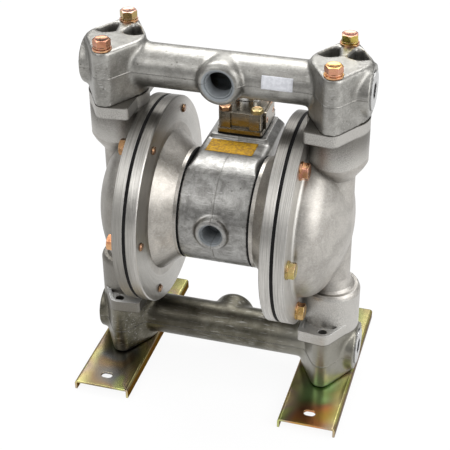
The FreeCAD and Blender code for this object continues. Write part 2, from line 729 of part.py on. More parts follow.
def liquid_chamber():
    piece = Piece("liquid_chamber_right")
    flange = piece.sketch("YZ_Plane", liquid_face_x)
    draw_circle(flange, 0, 0, s.flange_radius)
    piece.pad(flange, s.liquid_flange)
    dome = piece.sketch("XZ_Plane")
    draw_dome(dome, liquid_back_x, s.dome_depth, dome_radius, s.dome_knuckle)
    piece.revolve(dome, "H_Axis")
    piece.fillet(s.dome_fillet, circle_at("X", liquid_back_x, dome_radius))
    lower = piece.sketch("XY_Plane", -s.port_rise)
    port_outline(lower)
    piece.pad(lower, s.port_flange)
    ledge = piece.sketch("XY_Plane", s.port_flange - s.port_rise)
    port_outline(ledge, s.ledge_rim)
    piece.pocket(ledge, s.ledge_pocket)
    upper = piece.sketch("XY_Plane", s.port_rise - s.port_flange)
    port_outline(upper)
    piece.pad(upper, s.port_flange)
    column = piece.sketch("XZ_Plane", middle=column_x)
    upper_end = s.port_rise - housing_height - s.port_flange / 2
    lower_end = housing_height - s.port_rise
    step = s.shoulder_step
    draw_polygon(column, [
        (0, s.port_rise),
        (s.housing_radius, s.port_rise),
        (s.housing_radius, upper_end),
        (s.housing_radius - step, upper_end - step * 2),
        (s.column_radius, upper_end - s.shoulder_height),
        (s.column_radius, lower_end + s.shoulder_height + step),
        (s.column_radius + step, lower_end + step * 4),
        (s.column_radius + step * 2, lower_end + step * 3),
        (s.housing_radius - step, lower_end + step * 3),
        (s.housing_radius - step / 3, lower_end + step * 2),
        (s.housing_radius, lower_end + step),
        (s.housing_radius, -s.port_rise),
        (0, -s.port_rise),
    ])
    piece.revolve(column, "V_Axis")
    mouth = piece.sketch("XZ_Plane")
    draw_polygon(mouth, [
        (0, 0),
        (0, s.flange_radius + s.facing_reach),
        (liquid_face_x, s.flange_radius + s.facing_reach),
        (liquid_face_x, clamp_radius),
        (liquid_back_x, dome_radius - s.dome_wall),
        (liquid_back_x, 0),
    ])
    piece.groove(mouth, "H_Axis")
    wall = s.dome_wall
    hollow = piece.sketch("XZ_Plane")
    draw_dome(hollow, liquid_back_x, s.dome_depth - wall, dome_radius - wall, s.dome_knuckle - wall)
    piece.groove(hollow, "H_Axis")
    bore = piece.sketch("XZ_Plane", middle=column_x)
    draw_polygon(bore, [
        (0, s.port_rise + 1),
        (s.housing_bore, s.port_rise + 1),
        (s.housing_bore, s.port_rise - housing_height),
        (s.column_bore, s.port_rise - housing_height),
        (s.column_bore, housing_height - s.port_rise),
        (s.housing_bore, housing_height - s.port_rise),
        (s.housing_bore, -s.port_rise - 1),
        (0, -s.port_rise - 1),
    ])
    piece.groove(bore, "V_Axis")
    lobe_holes(piece, column_x, thread_hole, s.port_rise, s.port_flange + 1)
    lobe_holes(piece, column_x, thread_hole, -s.port_rise, s.port_flange + 1, back=True)
    bolt_ring(piece, bolt_hole, liquid_back_x + 1, s.liquid_flange + 2)
    place(piece.body, z=axis_height)
    mirrored(keep(piece.body, "liquid_chamber_right"), "liquid_chamber_left")


def diaphragm():
    piece = Piece("diaphragm_right")
    fold_in = s.disk_radius + s.fold_edge
    fold_out = clamp_radius - s.fold_edge
    rubber = piece.sketch("XZ_Plane")
    draw_polygon(rubber, [
        (air_face_x, s.diaphragm_hole),
        (air_face_x, s.disk_radius + 1),
        (air_face_x - s.convolution, fold_in),
        (air_face_x - s.convolution, fold_out),
        (air_face_x, clamp_radius),
        (air_face_x, s.flange_radius - s.diaphragm_inset),
        (liquid_face_x, s.flange_radius - s.diaphragm_inset),
        (liquid_face_x, clamp_radius),
        (liquid_face_x - s.convolution, fold_out),
        (liquid_face_x - s.convolution, fold_in),
        (liquid_face_x, s.disk_radius + 1),
        (liquid_face_x, s.diaphragm_hole),
    ])
    piece.revolve(rubber, "H_Axis")
    bolt_ring(piece, bolt_hole, liquid_face_x + 1, s.diaphragm_thickness + 2)
    place(piece.body, z=axis_height)
    mirrored(keep(piece.body, "diaphragm_right"), "diaphragm_left")


def disks():
    """The two metal disks that grip each diaphragm."""
    hole = s.rod_bolt_radius + s.thread_clearance
    for label, face, way in (("inner_disk", air_face_x, -1), ("outer_disk", liquid_face_x, 1)):
        piece = Piece(f"{label}_right")
        section = piece.sketch("XZ_Plane")
        draw_polygon(section, [
            (face, hole),
            (face, s.disk_radius),
            (face + s.disk_rim * way, s.disk_radius - 1),
            (face + s.disk_rim * way, s.disk_hub_radius + 4),
            (face + s.disk_hub * way, s.disk_hub_radius),
            (face + s.disk_hub * way, hole),
        ])
        piece.revolve(section, "H_Axis")
        place(piece.body, z=axis_height)
        mirrored(keep(piece.body, f"{label}_right"), f"{label}_left")


def cylinder(name, radius, height, x=0.0, y=0.0, z=0.0, turn="Z"):
    item = doc.addObject("Part::Cylinder", name)
    bind(item, "Radius", radius)
    bind(item, "Height", height)
    place(item, x, y, z, turn)
    return item


def hexagon(name, flats, height, x=0.0, y=0.0, z=0.0, turn="Z"):
    item = doc.addObject("Part::Prism", name)
    item.Polygon = 6
    bind(item, "Circumradius", flats * hex_corner)
    bind(item, "Height", height)
    place(item, x, y, z, turn)
    return item


def ring(name, outer, inner, height, x=0.0, y=0.0, z=0.0, turn="Z"):
    """A washer or bush: a cylinder with a hole through it."""
    item = doc.addObject("Part::Cut", name)
    item.Base = cylinder(f"{name}_body", outer, height, x, y, z, turn)
    item.Tool = cylinder(f"{name}_hole", inner, height, x, y, z, turn)
    return item


def bolt(name, radius, flats, head, shank, x, y, z, turn):
    """A hexagon bolt whose head sits at a point and whose shank runs on."""
    way = TURNED[turn].multVec(AXIS["Z"])
    head_item = hexagon(f"{name}_head", flats, head, x, y, z, turn)
    start = [at + head * round(step) if round(step) else at for at, step in zip((x, y, z), way)]
    shank_item = cylinder(f"{name}_shank", radius, shank, *start, turn)
    item = doc.addObject("Part::Fuse", name)
    item.Base = head_item
    item.Tool = shank_item
    return item


def group(label, items):
    """Identical loose pieces that share one node."""
    item = doc.addObject("Part::Compound", label)
    item.Links = items
    return keep(item, label)


def centre_rod():
    length = (air_face_x - s.disk_hub) * 2
    tap = s.rod_bolt_radius + s.thread_clearance
    rod = doc.addObject("Part::Cut", "centre_rod")
    rod.Base = cylinder("rod_bar", s.rod_radius, length, -length / 2, 0.0, axis_height, "X")
    taps = doc.addObject("Part::MultiFuse", "rod_taps")
    left = cylinder("rod_tap_left", tap, s.rod_thread, -length / 2, 0.0, axis_height, "X")
    start = length / 2 - s.rod_thread
    right = cylinder("rod_tap_right", tap, s.rod_thread, start, 0.0, axis_height, "X")
    taps.Shapes = [left, right]
    rod.Tool = taps
    keep(rod, "centre_rod")
    head_face = liquid_face_x + s.disk_hub
    shank = head_face - start - s.thread_end
    end = bolt(
        "rod_bolt_right", s.rod_bolt_radius, s.rod_bolt_flats, s.rod_bolt_head, shank,
        head_face + s.rod_bolt_head, 0.0, axis_height, "-X")
    mirrored(keep(end, "rod_bolt_right"), "rod_bolt_left")


def rod_bushings():
    inner = s.rod_radius + s.rod_clearance
    start = body_half - s.bushing_length
    bush = ring(
        "rod_bushing_right", bushing_radius, inner, s.bushing_length,
        start, 0.0, axis_height, "X")
    mirrored(keep(bush, "rod_bushing_right"), "rod_bushing_left")
    seal = ring(
        "rod_seal_right", seal_radius, inner, s.seal_length,
        neck_x, 0.0, axis_height, "X")
    mirrored(keep(seal, "rod_seal_right"), "rod_seal_left")


def pilot_pin():
    pressed = air_face_x - s.disk_rim - s.rod_stroke / 2
    reach = pressed + s.rod_stroke / 2 * s.pilot_share - s.seat_clearance
    height = axis_height + s.pilot_offset
    keep(cylinder("pilot_pin", s.pilot_radius, reach * 2, -reach, 0.0, height, "X"), "pilot_pin")


def ball_places():
    """Each check valve: its name, its side and the height of its seat."""
    lower_seat = axis_height - s.port_rise
    upper_seat = axis_height + s.port_rise - housing_height
    return [
        ("upper_left", -column_x, upper_seat),
        ("upper_right", column_x, upper_seat),
        ("lower_left", -column_x, lower_seat),
        ("lower_right", column_x, lower_seat),
    ]


def check_valves():
    outer = s.housing_bore - s.seat_clearance
    guide = s.ball_radius + s.seat_clearance * 3
    for place_name, x, seat in ball_places():
        ball = doc.addObject("Part::Sphere", f"check_ball_{place_name}")
        bind(ball, "Radius", s.ball_radius)
        place(ball, x, 0.0, seat + ball_rest)
        keep(ball, f"check_ball_{place_name}")
        seat_ring = ring(
            f"valve_seat_{place_name}", outer, s.seat_bore, s.seat_height, x, 0.0, seat)
        keep(seat_ring, f"valve_seat_{place_name}")
        cage = Piece(f"ball_cage_{place_name}")
        wall = cage.sketch("XY_Plane", s.seat_height)
        draw_circle(wall, 0, 0, outer)
        draw_circle(wall, 0, 0, outer - s.cage_wall)
        cage.pad(wall, housing_height - s.seat_height)
        half = s.cage_rib / 2
        rib = cage.sketch("XY_Plane", s.seat_height)
        draw_polygon(rib, [
            (guide, -half),
            (outer - s.cage_wall / 2, -half),
            (outer - s.cage_wall / 2, half),
            (guide, half),
        ])
        first = cage.pad(rib, housing_height - s.seat_height)
        ribs = cage.body.newObject("PartDesign::PolarPattern", cage.name("ribs"))
        ribs.Originals = [first]
        ribs.Axis = (rib, ["N_Axis"])
        ribs.Angle = 360
        ribs.Occurrences = 4
        cage.body.Tip = ribs
        for plane in ("along", "across"):
            bar = cage.sketch("XY_Plane", ball_stop)
            long_half = outer - s.cage_wall / 2
            sizes = (long_half, half) if plane == "along" else (half, long_half)
            draw_polygon(bar, [
                (-sizes[0], -sizes[1]),
                (sizes[0], -sizes[1]),
                (sizes[0], sizes[1]),
                (-sizes[0], sizes[1]),
            ])
            cage.pad(bar, s.cage_bar)
        place(cage.body, x, 0.0, seat)
        keep(cage.body, f"ball_cage_{place_name}")


def manifold(label, up, height, port_way):
    """A casting across the pump: up is 1 on top and -1 below, port_way is
    -1 for a port at the front and 1 for one at the back."""
    piece = Piece(label)
    end_x = column_x + s.end_boss_reach
    tube_z = tube_local * up
    tube = piece.sketch("XZ_Plane", rise=tube_z)
    draw_polygon(tube, [
        (-end_x, 0),
        (-end_x, s.end_boss_radius - s.end_boss_bevel),
        (s.end_boss_bevel - end_x, s.end_boss_radius),
        (-column_x, s.end_boss_radius),
        (-column_x, s.tube_radius),
        (column_x, s.tube_radius),
        (column_x, s.end_boss_radius),
        (end_x - s.end_boss_bevel, s.end_boss_radius),
        (end_x, s.end_boss_radius - s.end_boss_bevel),
        (end_x, 0),
    ])
    piece.revolve(tube, "H_Axis")
    lobe_y = s.port_lobe_spacing / 2
    head_base = s.port_rise if up > 0 else -s.port_rise - height
    for x in (-column_x, column_x):
        head = piece.sketch("XY_Plane", head_base)
        draw_hull(head, [
            (x, 0, s.head_radius),
            (x, lobe_y, s.port_lobe_radius),
            (x, 0, s.head_radius),
            (x, -lobe_y, s.port_lobe_radius),
        ])
        piece.pad(head, height)
    boss = piece.sketch("XY_Plane", tube_z)
    slope = s.port_boss_radius - s.port_bore - s.port_face
    draw_polygon(boss, [
        (0, 0),
        (s.port_boss_radius, 0),
        (s.port_boss_radius, (s.port_boss_reach - slope) * port_way),
        (s.port_boss_radius - slope, s.port_boss_reach * port_way),
        (0, s.port_boss_reach * port_way),
    ])
    piece.revolve(boss, "V_Axis")
    piece.fillet(s.tube_fillet, winds_over_tube(s.tube_radius, tube_z, column_x / 2))
    bores = piece.sketch("XZ_Plane", rise=tube_z)
    plug_hole = s.plug_radius + s.thread_clearance
    draw_polygon(bores, [
        (-end_x - 1, 0),
        (-end_x - 1, plug_hole),
        (s.plug_depth - end_x, plug_hole),
        (s.plug_depth - end_x, s.tube_bore),
        (end_x - s.plug_depth, s.tube_bore),
        (end_x - s.plug_depth, plug_hole),
        (end_x + 1, plug_hole),
        (end_x + 1, 0),
    ])
    piece.groove(bores, "H_Axis")
    port = piece.sketch("XY_Plane", tube_z)
    draw_polygon(port, [
        (0, 0),
        (s.tube_bore - 1, 0),
        (s.tube_bore - 1, (s.port_boss_reach - s.port_depth) * port_way),
        (s.port_bore, (s.port_boss_reach - s.port_depth) * port_way),
        (s.port_bore, (s.port_boss_reach - s.port_mouth_depth) * port_way),
        (s.port_mouth, s.port_boss_reach * port_way),
        (s.port_mouth, (s.port_boss_reach + 1) * port_way),
        (0, (s.port_boss_reach + 1) * port_way),
    ])
    piece.groove(port, "V_Axis")
    joint_z = s.port_rise * up
    for x in (-column_x, column_x):
        riser = piece.sketch("XY_Plane", joint_z)
        draw_circle(riser, x, 0, s.riser_bore)
        piece.pocket(riser, s.manifold_rise, back=up > 0)
        lobe_holes(piece, x, bolt_hole, joint_z, height, back=up > 0)
    head_pockets(piece, up, (s.port_rise + height) * up)
    place(piece.body, z=axis_height)
    keep(piece.body, label)


def head_pockets(piece, up, level):
    """Cored pockets behind the crown of each head, either side of a rib that
    widens towards the back bolt."""
    front_y = s.pocket_front
    back_y = s.port_lobe_spacing / 2 - s.port_lobe_radius + s.pocket_rim
    for x in (-column_x, column_x):
        for side in (-1, 1):
            pocket = piece.sketch("XY_Plane", level)
            draw_polygon(pocket, [
                (x + s.pocket_rib / 2 * side, front_y + s.pocket_rim),
                (x + s.head_radius / 2 * side, front_y),
                (x + (s.head_radius - s.pocket_rim) * side, front_y + s.pocket_rim),
                (x + s.head_radius / 2 * side, back_y - s.pocket_rim / 2),
                (x + s.pocket_rib * side, back_y),
            ])
            piece.pocket(pocket, s.pocket_depth, back=up < 0)


def plugs():
    """Threaded plugs that close the four ends of the manifolds."""
    for level, height in (("upper", tube_local), ("lower", -tube_local)):
        end_x = column_x + s.end_boss_reach
        piece = Piece(f"{level}_plug_right")
        disc = piece.sketch("YZ_Plane", end_x - s.plug_depth)
        draw_circle(disc, 0, height, s.plug_radius)
        piece.pad(disc, s.plug_depth + s.plug_proud)
        socket = piece.sketch("YZ_Plane", end_x + s.plug_proud)
        side = s.plug_socket * hex_corner
        draw_polygon(socket, [
            (side * math.cos(math.radians(60 * i)), height + side * math.sin(math.radians(60 * i)))
            for i in range(6)
        ])
        piece.pocket(socket, s.plug_depth / 2)
        place(piece.body, z=axis_height)
        mirrored(keep(piece.body, f"{level}_plug_right"), f"{level}_plug_left")


def joint_bolts():
    """Bolts and washers of the four manifold joints."""
    head_top = axis_height + s.port_rise + s.upper_head
    spring_z = head_top + s.washer_thickness
    bolt_z = spring_z + s.spring_washer_thickness
    upper_shank = s.upper_head + s.washer_thickness + s.spring_washer_thickness + s.thread_engagement
    rail_inside = s.foot_height - s.foot_sheet
    lower_z = rail_inside - s.washer_thickness
    lower_shank = lower_head + s.foot_sheet + s.washer_thickness + s.thread_engagement
    corners = [(x, s.port_lobe_spacing * side) for x in (-column_x, column_x) for side in (-0.5, 0.5)]
    upper_bolts = []
    lower_bolts = []
    washers = []
    springs = []
    lower_washers = []
    for i, (x, y) in enumerate(corners):
        upper_bolts.append(bolt(
            f"upper_bolt_{i}", s.bolt_radius, s.hex_flats, s.hex_height, upper_shank,
            x, y, bolt_z + s.hex_height, "-Z"))
        washers.append(ring(
            f"upper_washer_{i}", s.washer_radius, bolt_hole, s.washer_thickness, x, y, head_top))
        springs.append(ring(
            f"spring_washer_{i}", s.spring_washer_radius, bolt_hole,
            s.spring_washer_thickness, x, y, spring_z))
        lower_bolts.append(bolt(
            f"lower_bolt_{i}", s.bolt_radius, s.hex_flats, s.foot_hex_height, lower_shank,
            x, y, lower_z - s.foot_hex_height, "Z"))
        lower_washers.append(ring(
            f"lower_washer_{i}", s.washer_radius, bolt_hole, s.washer_thickness, x, y, lower_z))
    group("upper_manifold_bolts", upper_bolts)
    group("upper_washers", washers)
    group("upper_spring_washers", springs)
    group("lower_manifold_bolts", lower_bolts)
    group("lower_washers", lower_washers)


def chamber_bolts():
    """Six bolts with washers through each pair of clamped flanges."""
    bolts = []
    washers = []
    outside = liquid_back_x + s.washer_thickness
    shank = outside - air_back_x + s.bolt_proud
    for i in range(6):
        angle = math.radians(60 * i)
        y = bolt_circle * round(math.cos(angle), 6)
        z = axis_height + bolt_circle * round(math.sin(angle), 6)
        bolts.append(bolt(
            f"chamber_bolt_{i}", s.bolt_radius, s.hex_flats, s.hex_height, shank,
            outside + s.hex_height, y, z, "-X"))
        washers.append(ring(
            f"chamber_washer_{i}", s.washer_radius, bolt_hole, s.washer_thickness,
            liquid_back_x, y, z, "X"))
    mirrored(group("chamber_bolts_right", bolts), "chamber_bolts_left")
    mirrored(group("chamber_washers_right", washers), "chamber_washers_left")


def mounting_rail():
    piece = Piece("mounting_rail_right")
    half = s.foot_width / 2
    section = piece.sketch("XZ_Plane", s.foot_length / 2)
    draw_polygon(section, [
        (-half, 0),
        (s.foot_sheet - half, 0),
        (s.foot_sheet - half, s.foot_height - s.foot_sheet),
        (half - s.foot_sheet, s.foot_height - s.foot_sheet),
        (half - s.foot_sheet, 0),
        (half, 0),
        (half, s.foot_height),
        (-half, s.foot_height),
    ])
    piece.pad(section, s.foot_length, back=True)
    outer_bend = line_along_y(half, s.foot_height)
    piece.fillet(s.foot_bend, outer_bend)
    inner_bend = line_along_y(half - s.foot_sheet, s.foot_height - s.foot_sheet)
    piece.fillet(s.foot_bend - s.foot_sheet, inner_bend)
    straight = (s.slot_length - s.slot_width) / 2
    slots = piece.sketch("XY_Plane", s.foot_height)
    for side in (-0.5, 0.5):
        draw_hull(slots, [
            (straight, s.slot_spacing * side, s.slot_width / 2),
            (-straight, s.slot_spacing * side, s.slot_width / 2),
        ])
    for side in (-0.5, 0.5):
        draw_circle(slots, 0, s.port_lobe_spacing * side, bolt_hole)
    piece.pocket(slots, s.foot_sheet + 1)
    place(piece.body, column_x, 0.0, 0.0)
    mirrored(keep(piece.body, "mounting_rail_right"), "mounting_rail_left")


def air_valve():
    base = pad_rise + s.gasket_thickness
    gasket = Piece("valve_gasket")
    sheet_part = gasket.sketch("XY_Plane", pad_rise)
    valve_outline(sheet_part)
    gasket.pad(sheet_part, s.gasket_thickness)
    valve_holes(gasket, pad_rise, s.gasket_thickness)
    place(gasket.body, z=axis_height)
    keep(gasket.body, "valve_gasket")
    valve_block(base)
    spool_z = base + s.valve_height / 2
    height = axis_height + spool_z
    sleeve = ring(
        "spool_sleeve", sleeve_radius, s.spool_radius + s.spool_gap, cap_inside * 2,
        -cap_inside, valve_middle_y, height, "X")
    keep(sleeve, "spool_sleeve")
    spool()
    end_caps(spool_z)
    valve_cap(base + s.valve_height)
    valve_bolts(base + s.valve_height)


def valve_block(base):
    """A block on a base flange, with a column at each corner bolt."""
    block = Piece("valve_block")
    flange = block.sketch("XY_Plane", base)
    valve_outline(flange)
    block.pad(flange, s.valve_base)
    upright = block.sketch("XY_Plane", base)
    valve_outline(upright, s.valve_inset)
    block.pad(upright, s.valve_height)
    low = base + s.valve_base + 1
    high = base + s.valve_height - s.valve_inset
    front_face = s.valve_front + s.valve_inset
    rear_face = s.valve_front + s.valve_depth - s.valve_inset
    for face, back in ((front_face, True), (rear_face, False)):
        recess = block.sketch("XZ_Plane", -face)
        draw_polygon(recess, [
            (-s.valve_recess_half, low),
            (s.valve_recess_half, low),
            (s.valve_recess_half, high),
            (-s.valve_recess_half, high),
        ])
        block.pocket(recess, s.valve_recess, back=not back)
    spool_z = base + s.valve_height / 2
    for side in (-1, 1):
        seat = block.sketch("YZ_Plane", cap_inside * side)
        cap_outline(seat, spool_z, s.seat_clearance / 2)
        block.pocket(seat, s.end_cap + 1, back=side > 0)
    tunnel = block.sketch("YZ_Plane", -cap_inside - 1)
    draw_circle(tunnel, valve_middle_y, spool_z, sleeve_radius)
    block.pocket(tunnel, cap_inside * 2 + 2, back=True)
    for side in (-1, 1):
        taps = block.sketch("YZ_Plane", cap_inside * side)
        for y in cap_screw_places():
            draw_circle(taps, y, spool_z, s.cap_screw_radius + s.thread_clearance)
        block.pocket(taps, s.cap_screw_length + 1, back=side < 0)
    valve_holes(block, base, s.valve_height)
    place(block.body, z=axis_height)
    keep(block.body, "valve_block")


def valve_outline(sketch, inset=0.0):
    half = s.valve_width / 2 - inset
    front = s.valve_front + inset
    back = s.valve_front + s.valve_depth - inset
    corner = s.valve_corner
    draw_hull(sketch, [
        (half - corner, front + corner, corner),
        (half - corner, back - corner, corner),
        (corner - half, back - corner, corner),
        (corner - half, front + corner, corner),
    ])


def valve_holes(piece, level, height):
    holes = piece.sketch("XY_Plane", level)
    for x, y in valve_bolt_places():
        draw_circle(holes, x, y, s.valve_bolt_radius + s.bolt_clearance)
    piece.pocket(holes, height, back=True)


def spool():
    """Three lands and two waists on one bar."""
    piece = Piece("spool")
    half = s.spool_length / 2
    land = s.spool_length / 8
    section = piece.sketch("XZ_Plane")
    draw_polygon(section, [
        (-half, 0),
        (-half, s.spool_radius),
        (land * 1.5 - half, s.spool_radius),
        (land * 1.5 - half, s.spool_waist),
        (-land, s.spool_waist),
        (-land, s.spool_radius),
        (land, s.spool_radius),
        (land, s.spool_waist),
        (half - land * 1.5, s.spool_waist),
        (half - land * 1.5, s.spool_radius),
        (half, s.spool_radius),
        (half, 0),
    ])
    piece.revolve(section, "H_Axis")
    height = axis_height + pad_rise + s.gasket_thickness + s.valve_height / 2
    place(piece.body, 0.0, valve_middle_y, height)
    keep(piece.body, "spool")


def cap_screw_places():
    """The two screws of an end cap, in front of the spool and behind it."""
    reach = s.end_cap_depth / 2 - s.cap_screw_head * 1.5
    return [valve_middle_y - reach, valve_middle_y + reach]


def cap_outline(sketch, spool_z, grow=0.0):
    """The outline of an end cap, seen along the spool."""
    reach_y = s.end_cap_depth / 2
    reach_z = s.end_cap_height / 2
    corner = s.valve_corner
    draw_hull(sketch, [
        (valve_middle_y + reach_y - corner, spool_z - reach_z + corner, corner + grow),
        (valve_middle_y + reach_y - corner, spool_z + reach_z - corner, corner + grow),
        (valve_middle_y - reach_y + corner, spool_z + reach_z - corner, corner + grow),
        (valve_middle_y - reach_y + corner, spool_z - reach_z + corner, corner + grow),
    ])


def end_caps(spool_z):
    """Plates let into the sides of the valve block over the ends of the spool
    bore, each held by two cap screws."""
    piece = Piece("valve_end_cap_right")
    plate = piece.sketch("YZ_Plane", cap_inside)
    cap_outline(plate, spool_z)
    piece.pad(plate, s.end_cap)
    holes = piece.sketch("YZ_Plane", cap_inside)
    for y in cap_screw_places():
        draw_circle(holes, y, spool_z, s.cap_screw_radius + s.seat_clearance)
    piece.pocket(holes, s.end_cap, back=True)
    seat_x = cap_inside + s.end_cap - s.cap_screw_head
    seats = piece.sketch("YZ_Plane", seat_x)
    for y in cap_screw_places():
        draw_circle(seats, y, spool_z, s.cap_screw_head + s.seat_clearance)
    piece.pocket(seats, s.cap_screw_head, back=True)
    place(piece.body, z=axis_height)
    mirrored(keep(piece.body, "valve_end_cap_right"), "valve_end_cap_left")
    screws = []
    shank = s.end_cap - s.cap_screw_head + s.cap_screw_length
    height = axis_height + spool_z
    socket = s.cap_screw_head / 2
    for name, y in zip(("front", "back"), cap_screw_places()):
        for hand, side, outward, inward in (("right", 1, "X", "-X"), ("left", -1, "-X", "X")):
            screw = doc.addObject("Part::Fuse", f"cap_screw_{hand}_{name}")
            screw.Base = ring(
                f"{screw.Name}_head", s.cap_screw_head, socket, s.cap_screw_head,
                seat_x * side, y, height, outward)
            screw.Tool = cylinder(
                f"{screw.Name}_shank", s.cap_screw_radius, shank + socket,
                (seat_x + socket) * side, y, height, inward)
            screws.append(screw)
    group("end_cap_screws", screws)


def valve_cap(level):
    """Round cap with a groove on top of the air valve."""
    piece = Piece("valve_cap")
    groove_z = level + s.top_cap_height / 2
    head_z = groove_z + s.top_cap_slot
    top = level + s.top_cap_height
    stem = s.top_cap_radius - s.top_cap_bevel
    section = piece.sketch("XZ_Plane")
    draw_polygon(section, [
        (0, level),
        (stem, level),
        (stem, groove_z),
        (stem - s.top_cap_groove, groove_z),
        (stem - s.top_cap_groove, head_z),
        (s.top_cap_radius, head_z),
        (s.top_cap_radius, top - s.top_cap_bevel),
        (stem, top),
        (0, top),
    ])
    piece.revolve(section, "V_Axis")
    place(piece.body, 0.0, valve_middle_y, axis_height)
    keep(piece.body, "valve_cap")


def valve_bolts(level):
    bolts = []
    shank = s.valve_height + s.gasket_thickness + s.valve_bolt_depth
    for i, (x, y) in enumerate(valve_bolt_places()):
        top = axis_height + level + s.valve_hex_height
        bolts.append(bolt(
            f"valve_bolt_{i}", s.valve_bolt_radius, s.valve_hex_flats, s.valve_hex_height,
            shank, x, y, top, "-Z"))
    group("valve_bolts", bolts)


centre_body()
body_gasket()
air_chamber()
liquid_chamber()
diaphragm()
disks()
centre_rod()
rod_bushings()
pilot_pin()
check_valves()
manifold("discharge_manifold", 1, s.upper_head, -1)
manifold("suction_manifold", -1, lower_head, 1)
plugs()
joint_bolts()
chamber_bolts()
mounting_rail()
air_valve()

doc.recompute()

for item in doc.Objects:
    if "Invalid" in item.State or "Error" in item.State:
        raise ValueError(f"{item.Label} failed: {item.State}")
for node in nodes:
    if node.Shape.isNull() or not node.Shape.isValid():
        raise ValueError(f"{node.Label} has no valid shape")

os.makedirs("parts", exist_ok=True)
for node in nodes:
    node.Shape.exportStep(os.path.join("parts", f"{node.Label}.step"))
    box = node.Shape.BoundBox
    print(
        f"{node.Label}: {len(node.Shape.Solids)} solids, volume {node.Shape.Volume:.0f},"
        f" x {box.XMin:.1f} {box.XMax:.1f}, y {box.YMin:.1f} {box.YMax:.1f},"
        f" z {box.ZMin:.1f} {box.ZMax:.1f}")
print(len(nodes), "nodes written")
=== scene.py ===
# %% [markdown]
# ## The frame
# This lesson dresses an air operated double diaphragm pump. Its solids come
# from the CAD model and stay where they are. They get finishes here, and
# the parts that need finer shapes than a solid gives are modelled over them.

# %% Load the frame
import math

import bmesh
import bpy
from mathutils import Matrix, Vector


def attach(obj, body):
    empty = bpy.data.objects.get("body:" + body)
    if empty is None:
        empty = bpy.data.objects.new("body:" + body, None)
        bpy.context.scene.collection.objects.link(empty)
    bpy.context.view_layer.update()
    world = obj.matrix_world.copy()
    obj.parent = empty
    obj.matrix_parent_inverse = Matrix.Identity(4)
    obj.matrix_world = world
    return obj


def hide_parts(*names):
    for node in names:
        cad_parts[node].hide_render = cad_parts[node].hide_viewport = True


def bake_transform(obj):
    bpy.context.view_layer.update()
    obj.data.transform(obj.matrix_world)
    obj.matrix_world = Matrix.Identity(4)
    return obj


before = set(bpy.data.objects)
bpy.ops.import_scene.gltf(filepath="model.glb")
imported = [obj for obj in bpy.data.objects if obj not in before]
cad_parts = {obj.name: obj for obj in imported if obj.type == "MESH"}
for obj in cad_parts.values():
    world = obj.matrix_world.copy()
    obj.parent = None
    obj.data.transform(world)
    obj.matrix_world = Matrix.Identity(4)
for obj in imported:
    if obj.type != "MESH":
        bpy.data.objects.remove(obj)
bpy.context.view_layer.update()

scene = bpy.context.scene

# %% [markdown]
# ## Camera
# The picture was taken from the front, a little to the right and from above.
# A camera could be aimed with a constraint, but a fixed matrix is simpler
# to keep: a place, and three axes that are worked out from three angles.

# %% Camera at the picture's angle
AZIMUTH = math.radians(16.8)
ELEVATION = math.radians(32.67)
ROLL = math.radians(0.69)
FOCAL_PIXELS = 1172.82
IMAGE_PIXELS = 450
CAMERA_PLACE = (0.329146, -1.102127, 0.925427)

forward = Vector((
    -math.sin(AZIMUTH) * math.cos(ELEVATION),
    math.cos(AZIMUTH) * math.cos(ELEVATION),
    -math.sin(ELEVATION),
))
level = forward.cross(Vector((0, 0, 1))).normalized()
down = forward.cross(level)
right = level * math.cos(ROLL) + down * math.sin(ROLL)
under = down * math.cos(ROLL) - level * math.sin(ROLL)

camera_data = bpy.data.cameras.new("camera")
camera_data.sensor_width = 36
camera_data.lens = FOCAL_PIXELS / IMAGE_PIXELS * 36
camera_data.clip_start = 0.05
camera_data.clip_end = 50
camera = bpy.data.objects.new("camera", camera_data)
turn = Matrix((right, -under, -forward)).transposed().to_4x4()
camera.matrix_world = Matrix.Translation(CAMERA_PLACE) @ turn
scene.collection.objects.link(camera)
scene.camera = camera
print("lens:", round(camera_data.lens, 2), "mm")

# %% [markdown]
# ## A short way to write nodes
# Node trees are easy to draw and long to write. One helper adds a node, sets
# its properties and fills its inputs, either with a value or with the output
# of another node, so that a material below reads from top to bottom. The
# others add the nodes that come back most, and start and end each finish.

# %% Node helpers
def node(tree, kind, feeds=None, **settings):
    made = tree.nodes.new(kind)
    for name, value in settings.items():
        setattr(made, name, value)
    for name, value in (feeds or {}).items():
        if isinstance(value, bpy.types.NodeSocket):
            tree.links.new(value, made.inputs[name])
        else:
            made.inputs[name].default_value = value
    return made


def math_node(tree, operation, first, second=0.5):
    return node(tree, "ShaderNodeMath", {0: first, 1: second}, operation=operation).outputs[0]


def times(tree, first, second):
    return math_node(tree, "MULTIPLY", first, second)


def plus(tree, first, second):
    return math_node(tree, "ADD", first, second)


def absolute(tree, value):
    return math_node(tree, "ABSOLUTE", value)


def remap(tree, value, low, high, to_low=0.0, to_high=1.0, smooth=True):
    feeds = {
        "Value": value, "From Min": low, "From Max": high, "To Min": to_low, "To Max": to_high,
    }
    kind = "SMOOTHSTEP" if smooth else "LINEAR"
    return node(tree, "ShaderNodeMapRange", feeds, interpolation_type=kind).outputs["Result"]


def parts_of(tree, vector):
    """The X, Y and Z of a place or a direction."""
    return node(tree, "ShaderNodeSeparateXYZ", {"Vector": vector}).outputs


def distance_from(tree, where, centre):
    feeds = {0: where, 1: centre}
    return node(tree, "ShaderNodeVectorMath", feeds, operation="DISTANCE").outputs["Value"]


def noise(tree, where, scale, detail, roughness=0.5, distortion=0.0):
    feeds = {
        "Vector": where, "Scale": scale, "Detail": detail, "Roughness": roughness,
        "Distortion": distortion,
    }
    return node(tree, "ShaderNodeTexNoise", feeds).outputs["Fac"]


